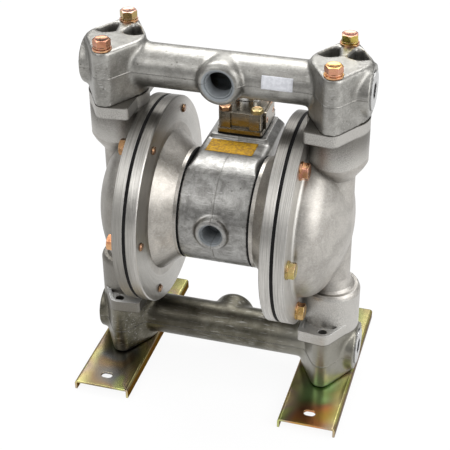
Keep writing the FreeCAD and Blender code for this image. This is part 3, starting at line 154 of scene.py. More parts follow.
def mix_colour(tree, factor, first, second, blend="MIX"):
    feeds = {"Factor": factor, 6: first, 7: second}
    return node(tree, "ShaderNodeMix", feeds, data_type="RGBA", blend_type=blend).outputs[2]


def lay_over(tree, mask, share, colour, hue):
    """Lay a hue over a colour where the mask allows it, up to a share."""
    return mix_colour(tree, times(tree, mask, share), colour, hue)


# %% Groups and materials
FLOAT = "NodeSocketFloat"
VECTOR = "NodeSocketVector"


def start_group(name, inputs, outputs):
    tree = bpy.data.node_groups.new(name, "ShaderNodeTree")
    for label, kind, value in inputs:
        socket = tree.interface.new_socket(label, in_out="INPUT", socket_type=kind)
        socket.default_value = value
    for label, kind in outputs:
        tree.interface.new_socket(label, in_out="OUTPUT", socket_type=kind)
    given = node(tree, "NodeGroupInput").outputs
    return tree, given, node(tree, "NodeGroupOutput").inputs


def end_group(tree, result, outputs):
    for name, value in outputs.items():
        tree.links.new(value, result[name])
    print("group:", tree.name)


def use_group(tree, group, feeds):
    return node(tree, "ShaderNodeGroup", feeds, node_tree=group).outputs


def start_material(name):
    material = bpy.data.materials.new(name)
    material.use_nodes = True
    tree = material.node_tree
    print("finish:", name)
    return material, tree, node(tree, "ShaderNodeTexCoord").outputs


def fill_shader(tree, colour, roughness, metallic, height, strength, distance, normal=None):
    """Bring the colour, the roughness and a bump to the material's shader."""
    shader = tree.nodes["Principled BSDF"].inputs
    feeds = {"Height": height, "Strength": strength, "Distance": distance}
    if normal is not None:
        feeds["Normal"] = normal
    bump = node(tree, "ShaderNodeBump", feeds)
    shader["Metallic"].default_value = metallic
    tree.links.new(colour, shader["Base Color"])
    tree.links.new(roughness, shader["Roughness"])
    tree.links.new(bump.outputs["Normal"], shader["Normal"])
    return shader


# %% [markdown]
# ## Effects that several finishes share
# Cast and rolled metal is never even. Three effects come back in nearly all
# the finishes here, so each is a node group that is built once: the grain of
# the casting, the handled edges with a mask for dirt and painted shade in the
# corners beside them, and the fine rings that a lathe tool leaves. They could
# be painted, but measured in millimetres from the part's own place they fit
# any shape.

# %% Grain of a casting
cast_grain, given, result = start_group(
    "cast_grain",
    [("Where", VECTOR, (0, 0, 0)), ("Mottle", FLOAT, 45.0), ("Grain", FLOAT, 520.0)],
    [("Tone", FLOAT), ("Height", FLOAT), ("Speck", FLOAT), ("Pores", FLOAT), ("Scuffs", FLOAT)],
)
mottle = noise(cast_grain, given["Where"], given["Mottle"], 6.0, 0.68, 0.5)
waves = noise(cast_grain, given["Where"], 120.0, 3.0)
grain = noise(cast_grain, given["Where"], given["Grain"], 3.0, 0.7)
pits = node(cast_grain, "ShaderNodeTexVoronoi", {
    "Vector": given["Where"], "Scale": 170.0, "Randomness": 1.0,
})
pit_mask = remap(cast_grain, pits.outputs["Distance"], 0.24, 0.08)
pores = times(cast_grain, pit_mask, remap(cast_grain, waves, 0.5, 0.62))
skewed = node(cast_grain, "ShaderNodeMapping", {
    "Vector": given["Where"], "Rotation": (0.0, 0.12, 0.16), "Scale": (1.0, 7.0, 9.0),
})
drawn = noise(cast_grain, skewed.outputs["Vector"], 70.0, 2.0, distortion=0.3)
scuffs = remap(cast_grain, drawn, 0.60, 0.70)
tall = plus(cast_grain, times(cast_grain, grain, 0.45), waves)
for mark, depth in ((pores, 0.3), (scuffs, 0.1)):
    tall = math_node(cast_grain, "SUBTRACT", tall, times(cast_grain, mark, depth))
end_group(cast_grain, result, {
    "Tone": remap(cast_grain, mottle, 0.32, 0.68), "Height": tall, "Speck": grain,
    "Pores": pores, "Scuffs": scuffs,
})

# %% Handled edges, and a corner mask for dirt and painted shade
worn_edges_and_corner_shade, given, result = start_group(
    "worn_edges_and_corner_shade",
    [("Round", FLOAT, 0.0012), ("Reach", FLOAT, 0.012)],
    [("Edge", FLOAT), ("Corner shade", FLOAT), ("Soft normal", VECTOR)],
)
soft = node(worn_edges_and_corner_shade, "ShaderNodeBevel", {"Radius": given["Round"]}, samples=6)
flat = node(worn_edges_and_corner_shade, "ShaderNodeNewGeometry")
facing = node(worn_edges_and_corner_shade, "ShaderNodeVectorMath", {
    0: soft.outputs["Normal"], 1: flat.outputs["Normal"],
}, operation="DOT_PRODUCT")
sky = node(worn_edges_and_corner_shade, "ShaderNodeAmbientOcclusion", {"Distance": given["Reach"]},
           samples=6, only_local=True)
bend = remap(worn_edges_and_corner_shade, facing.outputs["Value"], 0.995, 0.86)
outward = remap(worn_edges_and_corner_shade, sky.outputs["AO"], 0.72, 0.95)
end_group(worn_edges_and_corner_shade, result, {
    "Edge": times(worn_edges_and_corner_shade, bend, outward),
    # Corner shade is one where ambient occlusion finds near faces: a mask for painted shade in
    # corners.
    "Corner shade": remap(worn_edges_and_corner_shade, sky.outputs["AO"], 0.95, 0.35),
    "Soft normal": soft.outputs["Normal"],
})

# %% Rings left by turning
def off_axis(tree, place, across):
    """The distance from an axis, from the two places across it."""
    squares = [math_node(tree, "POWER", place[name], 2.0) for name in across]
    return math_node(tree, "SQRT", plus(tree, *squares))


turned_rings, given, result = start_group(
    "turned_rings", [("Where", VECTOR, (0, 0, 0))], [("Lines", FLOAT), ("Reach", FLOAT)],
)
place = parts_of(turned_rings, given["Where"])
reach = off_axis(turned_rings, place, "YZ")
tool_path = node(turned_rings, "ShaderNodeCombineXYZ", {
    "X": times(turned_rings, reach, 900.0),
    "Y": times(turned_rings, place["X"], 1400.0),
    "Z": times(turned_rings, place["Z"], 22.0),
})
lines = noise(turned_rings, tool_path.outputs["Vector"], 1.0, 3.0, 0.6)
end_group(turned_rings, result, {
    "Lines": remap(turned_rings, lines, 0.32, 0.68), "Reach": reach,
})

# %% [markdown]
# ## Bare cast aluminium
# The castings are bare aluminium, tumbled until they shine dully: a warm
# grey with soft broad highlights, cloudy patches, lighter handled edges and
# corners darkened by dirt and painted shade. A single grey with noise in its
# roughness would look like paint, so colour, roughness and height each follow
# the casting's grain.

# %% Masks by place
SOFT_BORDER = 0.0004


def near_axis(tree, where, axis, centre, radius, low, high):
    """A mask that is one inside a short cylinder round a point."""
    offset = node(tree, "ShaderNodeVectorMath", {0: where, 1: centre}, operation="SUBTRACT")
    place = parts_of(tree, offset.outputs["Vector"])
    away = off_axis(tree, place, [name for name in "XYZ" if name != axis])
    inside = remap(tree, away, radius + SOFT_BORDER, radius - SOFT_BORDER)
    above = remap(tree, place[axis], low - SOFT_BORDER, low + SOFT_BORDER)
    below = remap(tree, place[axis], high + SOFT_BORDER, high - SOFT_BORDER)
    return times(tree, inside, times(tree, above, below))


def line_at(tree, where, axis, station, sharp, soft):
    """A mask that is one along a plane across an axis."""
    gap = math_node(tree, "SUBTRACT", parts_of(tree, where)[axis], station)
    return remap(tree, absolute(tree, gap), soft, sharp)


# %% Cast aluminium
PALE_EDGE = (0.66, 0.655, 0.64, 1)
# A dark grime colour for pores, seams and dirt, also used for painted shade and painted shadow.
GRIME_AND_SHADE = (0.052, 0.046, 0.036, 1)
FACED = (0.27, 0.29, 0.305, 1)
# Paler hue for the suction manifold's right end, painted where less shade falls.
PALER_END = (0.36, 0.35, 0.31, 1)


def cast_colour(tree, grains, edges, light, dark, corner_dirt_and_shade, pores=0.55):
    """The colour of bare casting: cloudy, speckled, stained, worn, and darker in its corners with
    dirt and painted shade.
    """
    colour = mix_colour(tree, grains["Tone"], (*dark, 1), (*light, 1))
    fleck = remap(tree, grains["Speck"], 0.3, 0.7, 0.88, 1.12)
    colour = mix_colour(tree, 1.0, colour, fleck, "MULTIPLY")
    colour = lay_over(tree, grains["Pores"], pores, colour, GRIME_AND_SHADE)
    colour = lay_over(tree, grains["Scuffs"], 0.3, colour, PALE_EDGE)
    # Corners are darkened by dirt and painted shade, from the ambient occlusion mask.
    dirty_shaded_corners = times(tree, edges["Corner shade"], corner_dirt_and_shade)
    colour = mix_colour(tree, dirty_shaded_corners, colour, GRIME_AND_SHADE)
    return lay_over(tree, edges["Edge"], 0.75, colour, PALE_EDGE), dirty_shaded_corners


def dark_joint(tree, where, colour, station):
    """The dark line where two castings are bolted together."""
    line = line_at(tree, where, "Z", station, 0.0003, 0.0011)
    return lay_over(tree, line, 0.8, colour, GRIME_AND_SHADE)


def cast_finish(name, light, dark, rough, parting, faced=None, joint=None, corner_dirt_and_shade=0.7,
                mottle_scale=45.0, patches=()):
    material, tree, coords = start_material(name)
    where = coords["Object"]
    grains = use_group(tree, cast_grain, {"Where": where, "Mottle": mottle_scale})
    edges = use_group(tree, worn_edges_and_corner_shade, {})
    colour, dirty_shaded_corners = cast_colour(tree, grains, edges, light, dark, corner_dirt_and_shade)
    roughness = remap(tree, grains["Speck"], 0.3, 0.7, rough - 0.07, rough + 0.08)
    roughness = plus(tree, roughness, times(tree, dirty_shaded_corners, 0.25))
    height = grains["Height"]
    if faced:
        bare = near_axis(tree, where, *faced)
        colour = mix_colour(tree, bare, colour, FACED)
        height = times(tree, height, remap(tree, bare, 0.0, 1.0, 1.0, 0.2))
        roughness = plus(tree, roughness, times(tree, bare, 0.12))
    ridge = line_at(tree, where, *parting, 0.0003, 0.0009)
    height = plus(tree, height, times(tree, ridge, 1.2))
    colour = lay_over(tree, ridge, 0.3, colour, GRIME_AND_SHADE)
    if joint:
        colour = dark_joint(tree, where, colour, joint)
    # Patches round a point: on the suction manifold, a painted shadow and a paler, less shaded
    # end.
    for centre, reach, hue in patches:
        away = distance_from(tree, where, centre)
        colour = mix_colour(tree, remap(tree, away, reach, reach * 0.3, 0.0, 0.6), colour, hue)
    shader = fill_shader(
        tree, colour, roughness, 1.0, height, 0.32, 0.0006, edges["Soft normal"])
    if faced:
        tree.links.new(remap(tree, bare, 0.0, 1.0, 1.0, 0.55), shader["Metallic"])
    return material


UPPER_TUBE_Z = 0.382
LOWER_TUBE_Z = 0.044
EXHAUST_Z = 0.216
UPPER_JOINT = 0.350
LOWER_JOINT = 0.076
cast_tube = cast_finish(
    "cast_aluminium_manifold", (0.38, 0.372, 0.348), (0.24, 0.233, 0.216), 0.41,
    parting=("Z", UPPER_TUBE_Z), joint=UPPER_JOINT,
    faced=("Y", (0, 0, UPPER_TUBE_Z), 0.0185, -0.0345, 0.0100))
# Painted shade: the suction manifold's cast aluminium is painted far darker and browner than the
# upper manifold, for the shade under the body and the dark body reflected in it. A painted shadow
# darkens its left end, and its right end is painted paler.
shaded_cast_foot = cast_finish(
    "cast_aluminium_suction_shaded", (0.195, 0.183, 0.148), (0.085, 0.079, 0.058), 0.37,
    parting=("Z", LOWER_TUBE_Z), joint=LOWER_JOINT, corner_dirt_and_shade=0.9, mottle_scale=32.0,
    patches=[((-0.062, -0.02, 0.048), 0.055, GRIME_AND_SHADE), ((0.125, -0.03, 0.045), 0.075, PALER_END)])
cast_body = cast_finish(
    "cast_aluminium_body", (0.38, 0.375, 0.36), (0.20, 0.195, 0.185), 0.37,
    parting=("X", 0.0), corner_dirt_and_shade=0.8, mottle_scale=75.0,
    faced=("Y", (0, 0, EXHAUST_Z), 0.0140, -0.0695, -0.0300))

# %% [markdown]
# ## Turned aluminium
# The clamped flanges are turned on a lathe after casting, and they show fine
# lines round the diaphragm axis and a cleaner, lighter grey. The lines are
# noise that is drawn out along the turning direction, on the faces and on
# the rim, so that no line is like the next.

# %% Turned flanges
AXIS_HEIGHT = 0.213
TURNED_FROM = (0.0895, 0.091)
LEDGE_BELOW = (0.0912, 0.0906)
SHADE_OUTWARD = (-0.060, -0.088)
SHADE_DOWNWARD = (0.32, 0.15)
FLANGE_SHADOW_RISE = (0.296, 0.334)
FLANGE_SHADOW_TOP = (0.338, 0.335)
DRAWN = (0.55, 0.537, 0.51, 1)
LEDGE_HIGHLIGHT = (0.64, 0.645, 0.64, 1)
LOWER_LEFT_SHADE = (0.13, 0.12, 0.10, 1)


def turned_finish(name, light, dark, rough):
    material, tree, coords = start_material(name)
    where = coords["Object"]
    place = parts_of(tree, where)
    normal = parts_of(tree, coords["Normal"])
    grains = use_group(tree, cast_grain, {"Where": where, "Mottle": 38.0})
    edges = use_group(tree, worn_edges_and_corner_shade, {"Round": 0.0009})
    centred = node(tree, "ShaderNodeMapping", {"Vector": where, "Location": (0, 0, -AXIS_HEIGHT)})
    turned = use_group(tree, turned_rings, {"Where": centred.outputs["Vector"]})
    flange = remap(tree, turned["Reach"], *TURNED_FROM)
    colour, _ = cast_colour(tree, grains, edges, light, dark, 0.6, pores=0.15)
    depth = remap(tree, absolute(tree, normal["X"]), 0.5, 0.8, 0.36, 0.12)
    darkest = math_node(tree, "SUBTRACT", 1.0, depth)
    lightest = plus(tree, 1.0, times(tree, depth, 0.6))
    lines = remap(tree, turned["Lines"], 0.0, 1.0, darkest, lightest, smooth=False)
    drawn = mix_colour(tree, 1.0, DRAWN, lines, "MULTIPLY")
    colour = lay_over(tree, flange, 0.7, colour, drawn)
    colour = lay_over(tree, edges["Edge"], 0.7, colour, PALE_EDGE)
    for station in (UPPER_JOINT, LOWER_JOINT):
        colour = dark_joint(tree, where, colour, station)
    # Painted shade: the left chamber is darkened towards its bottom.
    outward = remap(tree, place["X"], *SHADE_OUTWARD)
    left_shade_mask = times(tree, outward, remap(tree, place["Z"], *SHADE_DOWNWARD))
    colour = lay_over(tree, left_shade_mask, 0.75, colour, LOWER_LEFT_SHADE)
    # Painted highlight: upward faces of the low ledge are painted paler.
    facing_up = remap(tree, normal["Z"], 0.9, 0.97)
    lit_ledge = times(tree, facing_up, remap(tree, place["Z"], *LEDGE_BELOW))
    colour = lay_over(tree, lit_ledge, 0.8, colour, LEDGE_HIGHLIGHT)
    # Painted shadow under the upper port flange, fading downwards.
    under_flange = remap(tree, place["Z"], *FLANGE_SHADOW_TOP, 0.22, 1.0)
    flange_shadow = times(tree, remap(tree, place["Z"], *FLANGE_SHADOW_RISE), under_flange)
    colour = lay_over(tree, flange_shadow, 0.7, colour, GRIME_AND_SHADE)
    roughness = remap(tree, grains["Speck"], 0.3, 0.7, rough - 0.05, rough + 0.08)
    ring_height = times(tree, turned["Lines"], times(tree, flange, 0.5))
    height = plus(tree, ring_height, grains["Height"])
    fill_shader(tree, colour, roughness, 1.0, height, 0.28, 0.0005, edges["Soft normal"])
    return material


turned_chamber = turned_finish(
    "turned_chamber", (0.48, 0.458, 0.425), (0.36, 0.342, 0.315), 0.46)
turned_inner = turned_finish(
    "turned_inner_chamber", (0.49, 0.462, 0.423), (0.33, 0.31, 0.28), 0.35)

# %% [markdown]
# ## Zinc with yellow passivation
# Bolts, washers and rails are zinc plated steel with a yellow passivation.
# The thin film shows interference colours that wander from gold to copper,
# green and violet. A colour ramp over slow noise does this on any shape,
# and is exported as a plain colour, which thin film shading would not be.
# Heads that differ much on the real pump get hues by their place, and the
# rails a ramp that runs along them.

# %% Passivated zinc
zinc_colours, given, result = start_group(
    "zinc_colours",
    [("Where", VECTOR, (0, 0, 0)), ("Patch", FLOAT, 18.0)],
    [("Film", FLOAT), ("Speck", FLOAT)],
)
drift = noise(zinc_colours, given["Where"], given["Patch"], 0.6, 0.4, 0.5)
end_group(zinc_colours, result, {
    "Film": remap(zinc_colours, drift, 0.3, 0.7, smooth=False),
    "Speck": noise(zinc_colours, given["Where"], 260.0, 1.0),
})


def colour_ramp(tree, factor, stops):
    ramp = node(tree, "ShaderNodeValToRGB", {"Fac": factor})
    band = ramp.color_ramp
    for element, (position, colour) in zip(band.elements, (stops[0], stops[-1])):
        element.position = position
        element.color = (*colour, 1)
    for position, colour in stops[1:-1]:
        band.elements.new(position).color = (*colour, 1)
    return ramp.outputs["Color"]


ZINC_CORNER_SHADE = (0.05, 0.03, 0.02, 1)


def finish_zinc(tree, zinc, edges, colour, rough, pale, grain=0.07):
    """The wear, the painted shade in corners, the sheen and the fine grain that all zinc here
    has.
    """
    fleck = remap(tree, zinc["Speck"], 0.3, 0.7, 1.0 - grain, 1.0 + grain)
    colour = mix_colour(tree, 1.0, colour, fleck, "MULTIPLY")
    colour = lay_over(tree, edges["Edge"], 0.5, colour, pale)
    # Painted shade in the corners.
    colour = lay_over(tree, edges["Corner shade"], 0.75, colour, ZINC_CORNER_SHADE)
    roughness = remap(tree, zinc["Speck"], 0.3, 0.7, rough - grain * 0.5, rough + grain)
    return fill_shader(
        tree, colour, roughness, 1.0, zinc["Speck"], grain * 0.15, 0.0001, edges["Soft normal"])


# %% Bolts and washers
COPPER = [
    (0.0, (0.36, 0.15, 0.075)), (0.3, (0.56, 0.27, 0.14)), (0.55, (0.68, 0.40, 0.20)),
    (0.78, (0.62, 0.29, 0.21)), (1.0, (0.40, 0.20, 0.10)),
]
BOLT_HUES = [  # the head's place, the hue of its sides, the hue of its top
    ((0.125, 0.041, 0.421), (0.52, 0.50, 0.08), (0.52, 0.24, 0.19)),
    ((0.125, -0.041, 0.421), (0.60, 0.29, 0.19), (0.66, 0.38, 0.12)),
    ((-0.125, 0.041, 0.421), (0.40, 0.30, 0.12), (0.60, 0.36, 0.29)),
    ((-0.125, -0.041, 0.421), (0.42, 0.18, 0.11), (0.27, 0.12, 0.08)),
    ((0.019, 0.058, 0.3135), (0.34, 0.27, 0.10), (0.42, 0.33, 0.16)),
    ((-0.019, 0.058, 0.3135), (0.30, 0.17, 0.09), (0.44, 0.26, 0.15)),
    ((-0.1022, -0.053, 0.305), (0.26, 0.15, 0.07), (0.30, 0.18, 0.09)),
    ((0.1022, -0.106, 0.213), (0.40, 0.34, 0.12), (0.46, 0.38, 0.16)),
    ((0.1022, -0.053, 0.121), (0.50, 0.34, 0.12), (0.48, 0.26, 0.12)),
]
HEAD_REACH = (0.0128, 0.0116)
TIP_FROM = (0.044, 0.048)
TIP_TO = (0.080, 0.077)
SHADED_TIP = (0.15, 0.09, 0.05, 1)


def bolt_finish(name, rough):
    """Copper to gold over slow noise, and for some heads a hue of their own."""
    material, tree, coords = start_material(name)
    where = coords["Object"]
    zinc = use_group(tree, zinc_colours, {"Where": where, "Patch": 75.0})
    edges = use_group(tree, worn_edges_and_corner_shade, {"Round": 0.0006, "Reach": 0.005})
    colour = colour_ramp(tree, zinc["Film"], COPPER)
    top = remap(tree, parts_of(tree, coords["Normal"])["Z"], 0.6, 0.9)
    for centre, side_hue, top_hue in BOLT_HUES:
        here = remap(tree, distance_from(tree, where, centre), *HEAD_REACH)
        hue = mix_colour(tree, top, (*side_hue, 1), (*top_hue, 1))
        hue = lay_over(tree, zinc["Film"], 0.45, hue, colour)
        colour = mix_colour(tree, here, colour, hue)
    # Painted shade: bolt ends in the gap between the centre body and the air chambers are
    # darkened.
    aside = absolute(tree, parts_of(tree, where)["X"])
    tip = times(tree, remap(tree, aside, *TIP_FROM), remap(tree, aside, *TIP_TO))
    colour = lay_over(tree, tip, 0.75, colour, SHADED_TIP)
    finish_zinc(tree, zinc, edges, colour, rough, (0.80, 0.66, 0.46, 1))
    return material


copper_zinc = bolt_finish("zinc_copper", 0.26)

# %% Rails
RAIL_X = 0.125
RAIL_END = 0.1175
RAIL_SIDE_SHADE = (0.085, 0.045, 0.03, 1)
RAIL_LEFT = [
    (0.0, (0.29, 0.28, 0.11)), (0.10, (0.24, 0.17, 0.10)), (0.20, (0.17, 0.175, 0.175)),
    (0.30, (0.16, 0.15, 0.13)), (0.42, (0.15, 0.20, 0.08)), (0.6, (0.20, 0.18, 0.13)),
    (0.8, (0.28, 0.31, 0.13)), (1.0, (0.32, 0.25, 0.13)),
]
RAIL_RIGHT = [
    (0.0, (0.50, 0.34, 0.07)), (0.08, (0.58, 0.24, 0.09)), (0.16, (0.40, 0.20, 0.11)),
    (0.25, (0.26, 0.36, 0.14)), (0.36, (0.34, 0.54, 0.24)), (0.55, (0.46, 0.44, 0.30)),
    (0.8, (0.32, 0.38, 0.17)), (1.0, (0.36, 0.37, 0.17)),
]
RAIL_BORDER = [
    (0.0, (0.50, 0.52, 0.16)), (0.35, (0.66, 0.60, 0.26)), (0.6, (0.52, 0.42, 0.22)),
    (0.8, (0.44, 0.34, 0.26)), (1.0, (0.46, 0.50, 0.18)),
]


def rail_finish(name, centre_x, along, rough):
    """A rail whose hue changes along it and turns to gold at its borders."""
    material, tree, coords = start_material(name)
    zinc = use_group(tree, zinc_colours, {"Where": coords["Object"], "Patch": 24.0})
    edges = use_group(tree, worn_edges_and_corner_shade, {"Round": 0.001, "Reach": 0.005})
    place = parts_of(tree, coords["Object"])
    station = remap(tree, place["Y"], -RAIL_END, RAIL_END, -0.13, 0.87, smooth=False)
    station = plus(tree, station, times(tree, zinc["Film"], 0.26))
    offset = absolute(tree, math_node(tree, "SUBTRACT", place["X"], centre_x))
    offset = plus(tree, offset, times(tree, zinc["Film"], 0.011))
    border = colour_ramp(tree, zinc["Film"], RAIL_BORDER)
    colour = colour_ramp(tree, station, along)
    colour = mix_colour(tree, remap(tree, offset, 0.019, 0.037), colour, border)
    # Painted shade on the rails' upright sides.
    sideways = absolute(tree, parts_of(tree, coords["Normal"])["X"])
    colour = mix_colour(tree, remap(tree, sideways, 0.75, 0.95, 0.0, 0.9), colour, RAIL_SIDE_SHADE)
    shader = finish_zinc(tree, zinc, edges, colour, rough, (0.72, 0.62, 0.34, 1), grain=0.015)
    shader["Specular Tint"].default_value = (0.42, 0.36, 0.30, 1)
    return material


left_rail_zinc = rail_finish("zinc_rail_left", -RAIL_X, RAIL_LEFT, 0.22)
right_rail_zinc = rail_finish("zinc_rail_right", RAIL_X, RAIL_RIGHT, 0.22)

# %% [markdown]
# ## Steel, rubber and plastics
# What is inside the pump is seldom seen, and it still has its own finish:
# ground steel for the rod and the disks, black rubber with a dusty bloom
# for diaphragms and gaskets, and the white elastomer of the check balls.
# Noise that is stretched along one axis gives the marks of grinding, and
# noise that isn't gives the bloom, so two functions make them all.

# %% Ground steel
STEEL_CORNER_SHADE = (0.10, 0.09, 0.08, 1)


def plain_metal(name, light, dark, rough, streak):
    material, tree, coords = start_material(name)
    stretched = node(tree, "ShaderNodeMapping", {"Vector": coords["Object"], "Scale": streak})
    lines = noise(tree, stretched.outputs["Vector"], 300.0, 3.0)
    edges = use_group(tree, worn_edges_and_corner_shade, {"Round": 0.0005, "Reach": 0.006})
    colour = mix_colour(tree, lines, (*dark, 1), (*light, 1))
    # Painted shade in the corners.
    colour = lay_over(tree, edges["Corner shade"], 0.5, colour, STEEL_CORNER_SHADE)
    roughness = remap(tree, lines, 0.3, 0.7, rough - 0.05, rough + 0.08)
    fill_shader(tree, colour, roughness, 1.0, lines, 0.1, 0.0002, edges["Soft normal"])
    return material


ALONG_X = (0.1, 1, 1)
ROUND_Z = (1, 1, 0.2)
ground_steel = plain_metal(
    "ground_steel", (0.66, 0.66, 0.67), (0.52, 0.52, 0.53), 0.22, ALONG_X)
machined = plain_metal(
    "machined_aluminium", (0.50, 0.50, 0.495), (0.36, 0.36, 0.355), 0.28, ROUND_Z)
cap_metal = plain_metal(
    "cap_aluminium", (0.70, 0.69, 0.67), (0.48, 0.47, 0.45), 0.24, ROUND_Z)
# Painted shade and reflection: the valve block and end cap are aluminium painted dark amber, for
# the shade of the manifold above and the yellow label reflected in it.
shaded_valve_metal = plain_metal(
    "valve_aluminium_shaded", (0.34, 0.31, 0.26), (0.15, 0.13, 0.10), 0.22, (0.3, 0.3, 1))

# %% Rubber and plastics
def soft_finish(name, light, dark, rough, scale, strength, gloss=0.5):
    material, tree, coords = start_material(name)
    bloom = noise(tree, coords["Object"], scale, 5.0, 0.6)
    fine = noise(tree, coords["Object"], 900.0, 2.0)
    colour = mix_colour(tree, remap(tree, bloom, 0.35, 0.65), (*dark, 1), (*light, 1))
    roughness = remap(tree, bloom, 0.3, 0.7, rough - 0.07, rough + 0.07)
    shader = fill_shader(tree, colour, roughness, 0.0, fine, strength, 0.0003)
    shader["Specular IOR Level"].default_value = gloss
    return material


rubber = soft_finish(
    "black_rubber", (0.014, 0.013, 0.013), (0.006, 0.006, 0.006), 0.7, 60.0, 0.4, gloss=0.1)
elastomer = soft_finish(
    "white_elastomer", (0.78, 0.76, 0.70), (0.66, 0.64, 0.58), 0.45, 40.0, 0.2)
grey_plastic = soft_finish(
    "grey_plastic", (0.34, 0.34, 0.35), (0.26, 0.26, 0.27), 0.45, 50.0, 0.2)
black_plastic = soft_finish(
    "black_plastic", (0.05, 0.05, 0.052), (0.03, 0.03, 0.032), 0.4, 50.0, 0.2)

# %% [markdown]
# ## Finishes on the CAD parts
# Every CAD part gets one of the finishes above in its material slots. The
# first words of a part's name say which, so a short table is enough.

# %% Give each CAD part its finish
FINISHES = [
    ("centre_body", cast_body), ("body_gasket", rubber), ("air_chamber", turned_inner),
    ("liquid_chamber", turned_chamber), ("diaphragm", rubber), ("inner_disk", machined),
    ("outer_disk", machined), ("centre_rod", ground_steel), ("rod_bolt", ground_steel),
    ("rod_bushing", grey_plastic), ("rod_seal", black_plastic), ("pilot_pin", ground_steel),
    ("check_ball", elastomer), ("valve_seat", grey_plastic), ("ball_cage", grey_plastic),
    ("discharge_manifold", cast_tube), ("suction_manifold", shaded_cast_foot),
    ("upper_plug", machined), ("lower_plug", machined), ("upper_manifold_bolts", copper_zinc),
    ("upper_washers", copper_zinc), ("upper_spring_washers", copper_zinc),
    ("lower_manifold_bolts", copper_zinc), ("lower_washers", copper_zinc),
    ("chamber_bolts", copper_zinc), ("chamber_washers", copper_zinc),
    ("mounting_rail_left", left_rail_zinc), ("mounting_rail_right", right_rail_zinc),
    ("valve_gasket", rubber), ("valve_block", shaded_valve_metal), ("spool_sleeve", ground_steel),
    ("spool", ground_steel), ("valve_end_cap", shaded_valve_metal), ("end_cap_screws", copper_zinc),
    ("valve_cap", cap_metal), ("valve_bolts", copper_zinc),
]


def finish_of(part_name):
    fits = [pair for pair in FINISHES if part_name.startswith(pair[0])]
    return max(fits, key=lambda pair: len(pair[0]))[1]


for part_name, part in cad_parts.items():
    part.data.materials.clear()
    part.data.materials.append(finish_of(part_name))
print("dressed:", len(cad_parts))

# %% [markdown]
# ## Helpers for new pieces
# Round parts are made as on a lathe: a few points of a half section, joined
# by edges, are spun once round an axis, and the doubles on the axis and at
# the seam are merged. A finished mesh gets its faces turned outwards and its
# sharp edges marked, then it is put on the body that it moves with.

# %% Spin a half section
def lathe(profile, steps=48, angle=math.tau, rise=0.0):
    shape = bmesh.new()
    points = [shape.verts.new((radius, 0, height)) for radius, height in profile]
    for first, second in zip(points, points[1:]):
        shape.edges.new((first, second))
    bmesh.ops.spin(
        shape, geom=shape.verts[:] + shape.edges[:], cent=(0, 0, 0), axis=(0, 0, 1),
        dvec=(0, 0, rise / steps), angle=angle, steps=steps,
        use_merge=angle == math.tau and rise == 0,
    )
    bmesh.ops.remove_doubles(shape, verts=shape.verts, dist=1e-6)
    return shape


def place_shape(shape, where, axis="Z", twist=0.0):
    """Turn a shape about its own axis, lay that axis along another and move it."""
    lay = {
        "Z": Matrix.Identity(4), "-Z": Matrix.Rotation(math.pi, 4, "X"),
        "X": Matrix.Rotation(math.pi / 2, 4, "Y"), "-X": Matrix.Rotation(-math.pi / 2, 4, "Y"),
        "Y": Matrix.Rotation(-math.pi / 2, 4, "X"), "-Y": Matrix.Rotation(math.pi / 2, 4, "X"),
    }[axis]
    matrix = Matrix.Translation(where) @ lay @ Matrix.Rotation(twist, 4, "Z")
    bmesh.ops.transform(shape, matrix=matrix, verts=shape.verts)
    return shape


# %% Join shapes and finish a piece
def join(shapes):
    whole = bmesh.new()
    for shape in shapes:
        passing = bpy.data.meshes.new("passing")
        shape.to_mesh(passing)
        shape.free()
        whole.from_mesh(passing)
        bpy.data.meshes.remove(passing)
    return whole


def finish_piece(shape, name, material, body, replaces=(), sharp=32.0):
    bmesh.ops.recalc_face_normals(shape, faces=shape.faces)
    for face in shape.faces:
        face.smooth = True
    for edge in shape.edges:
        bent = len(edge.link_faces) == 2 and edge.calc_face_angle(0.0) > math.radians(sharp)
        edge.smooth = not bent
    mesh = bpy.data.meshes.new(name)
    shape.to_mesh(mesh)
    shape.free()
    mesh.materials.append(material)
    piece = bpy.data.objects.new(name, mesh)
    scene.collection.objects.link(piece)
    if body:
        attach(piece, body)
    if replaces:
        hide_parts(*replaces)
    print("piece:", name, len(mesh.polygons), "faces")
    return piece


CASING = "pump_casing"
ROD = "rod_assembly"

# %% [markdown]
# ## Castings with soft corners
# A sand casting has no sharp creases: the metal runs round in every corner
# and over every outer edge. A bevel would need each edge to be picked, so
# both manifolds and the centre body are given an even mesh instead, and its
# creases are relaxed. Machined faces and the pilot bore are set back in
# place. Loops beside the parting plane lift a thin ridge where the halves of
# the mould met.

# %% Relax the creases of a casting
def even_mesh(part, voxel):
    """The part's mesh, remade with faces of one size."""
    copy = bpy.data.objects.new("passing", part.data.copy())
    scene.collection.objects.link(copy)
    remesh = copy.modifiers.new("even", "REMESH")
    remesh.mode = "VOXEL"
    remesh.voxel_size = voxel
    made = copy.evaluated_get(bpy.context.evaluated_depsgraph_get())
    mesh = bpy.data.meshes.new_from_object(made)
    shape = bmesh.new()
    shape.from_mesh(mesh)
    spent = copy.data
    bpy.data.objects.remove(copy)
    bpy.data.meshes.remove(mesh)
    bpy.data.meshes.remove(spent)
    return shape


def relax(shape, loose, steps):
    """Smooth the vertices that the test picks."""
    chosen = [vert for vert in shape.verts if loose(vert.co)]
    for _ in range(steps):
        bmesh.ops.smooth_vert(
            shape, verts=chosen, factor=0.5, use_axis_x=True, use_axis_y=True, use_axis_z=True)
    print("relaxed:", len(chosen), "of", len(shape.verts))


def reset_planes(shape, axis, stations, near):
    """Put vertices that left a machined plane back on it."""
    for vert in shape.verts:
        for station in stations:
            if abs(vert.co[axis] - station) < near:
                vert.co[axis] = station


# %% Ridge and bore
RIDGE_HALF = 0.0006


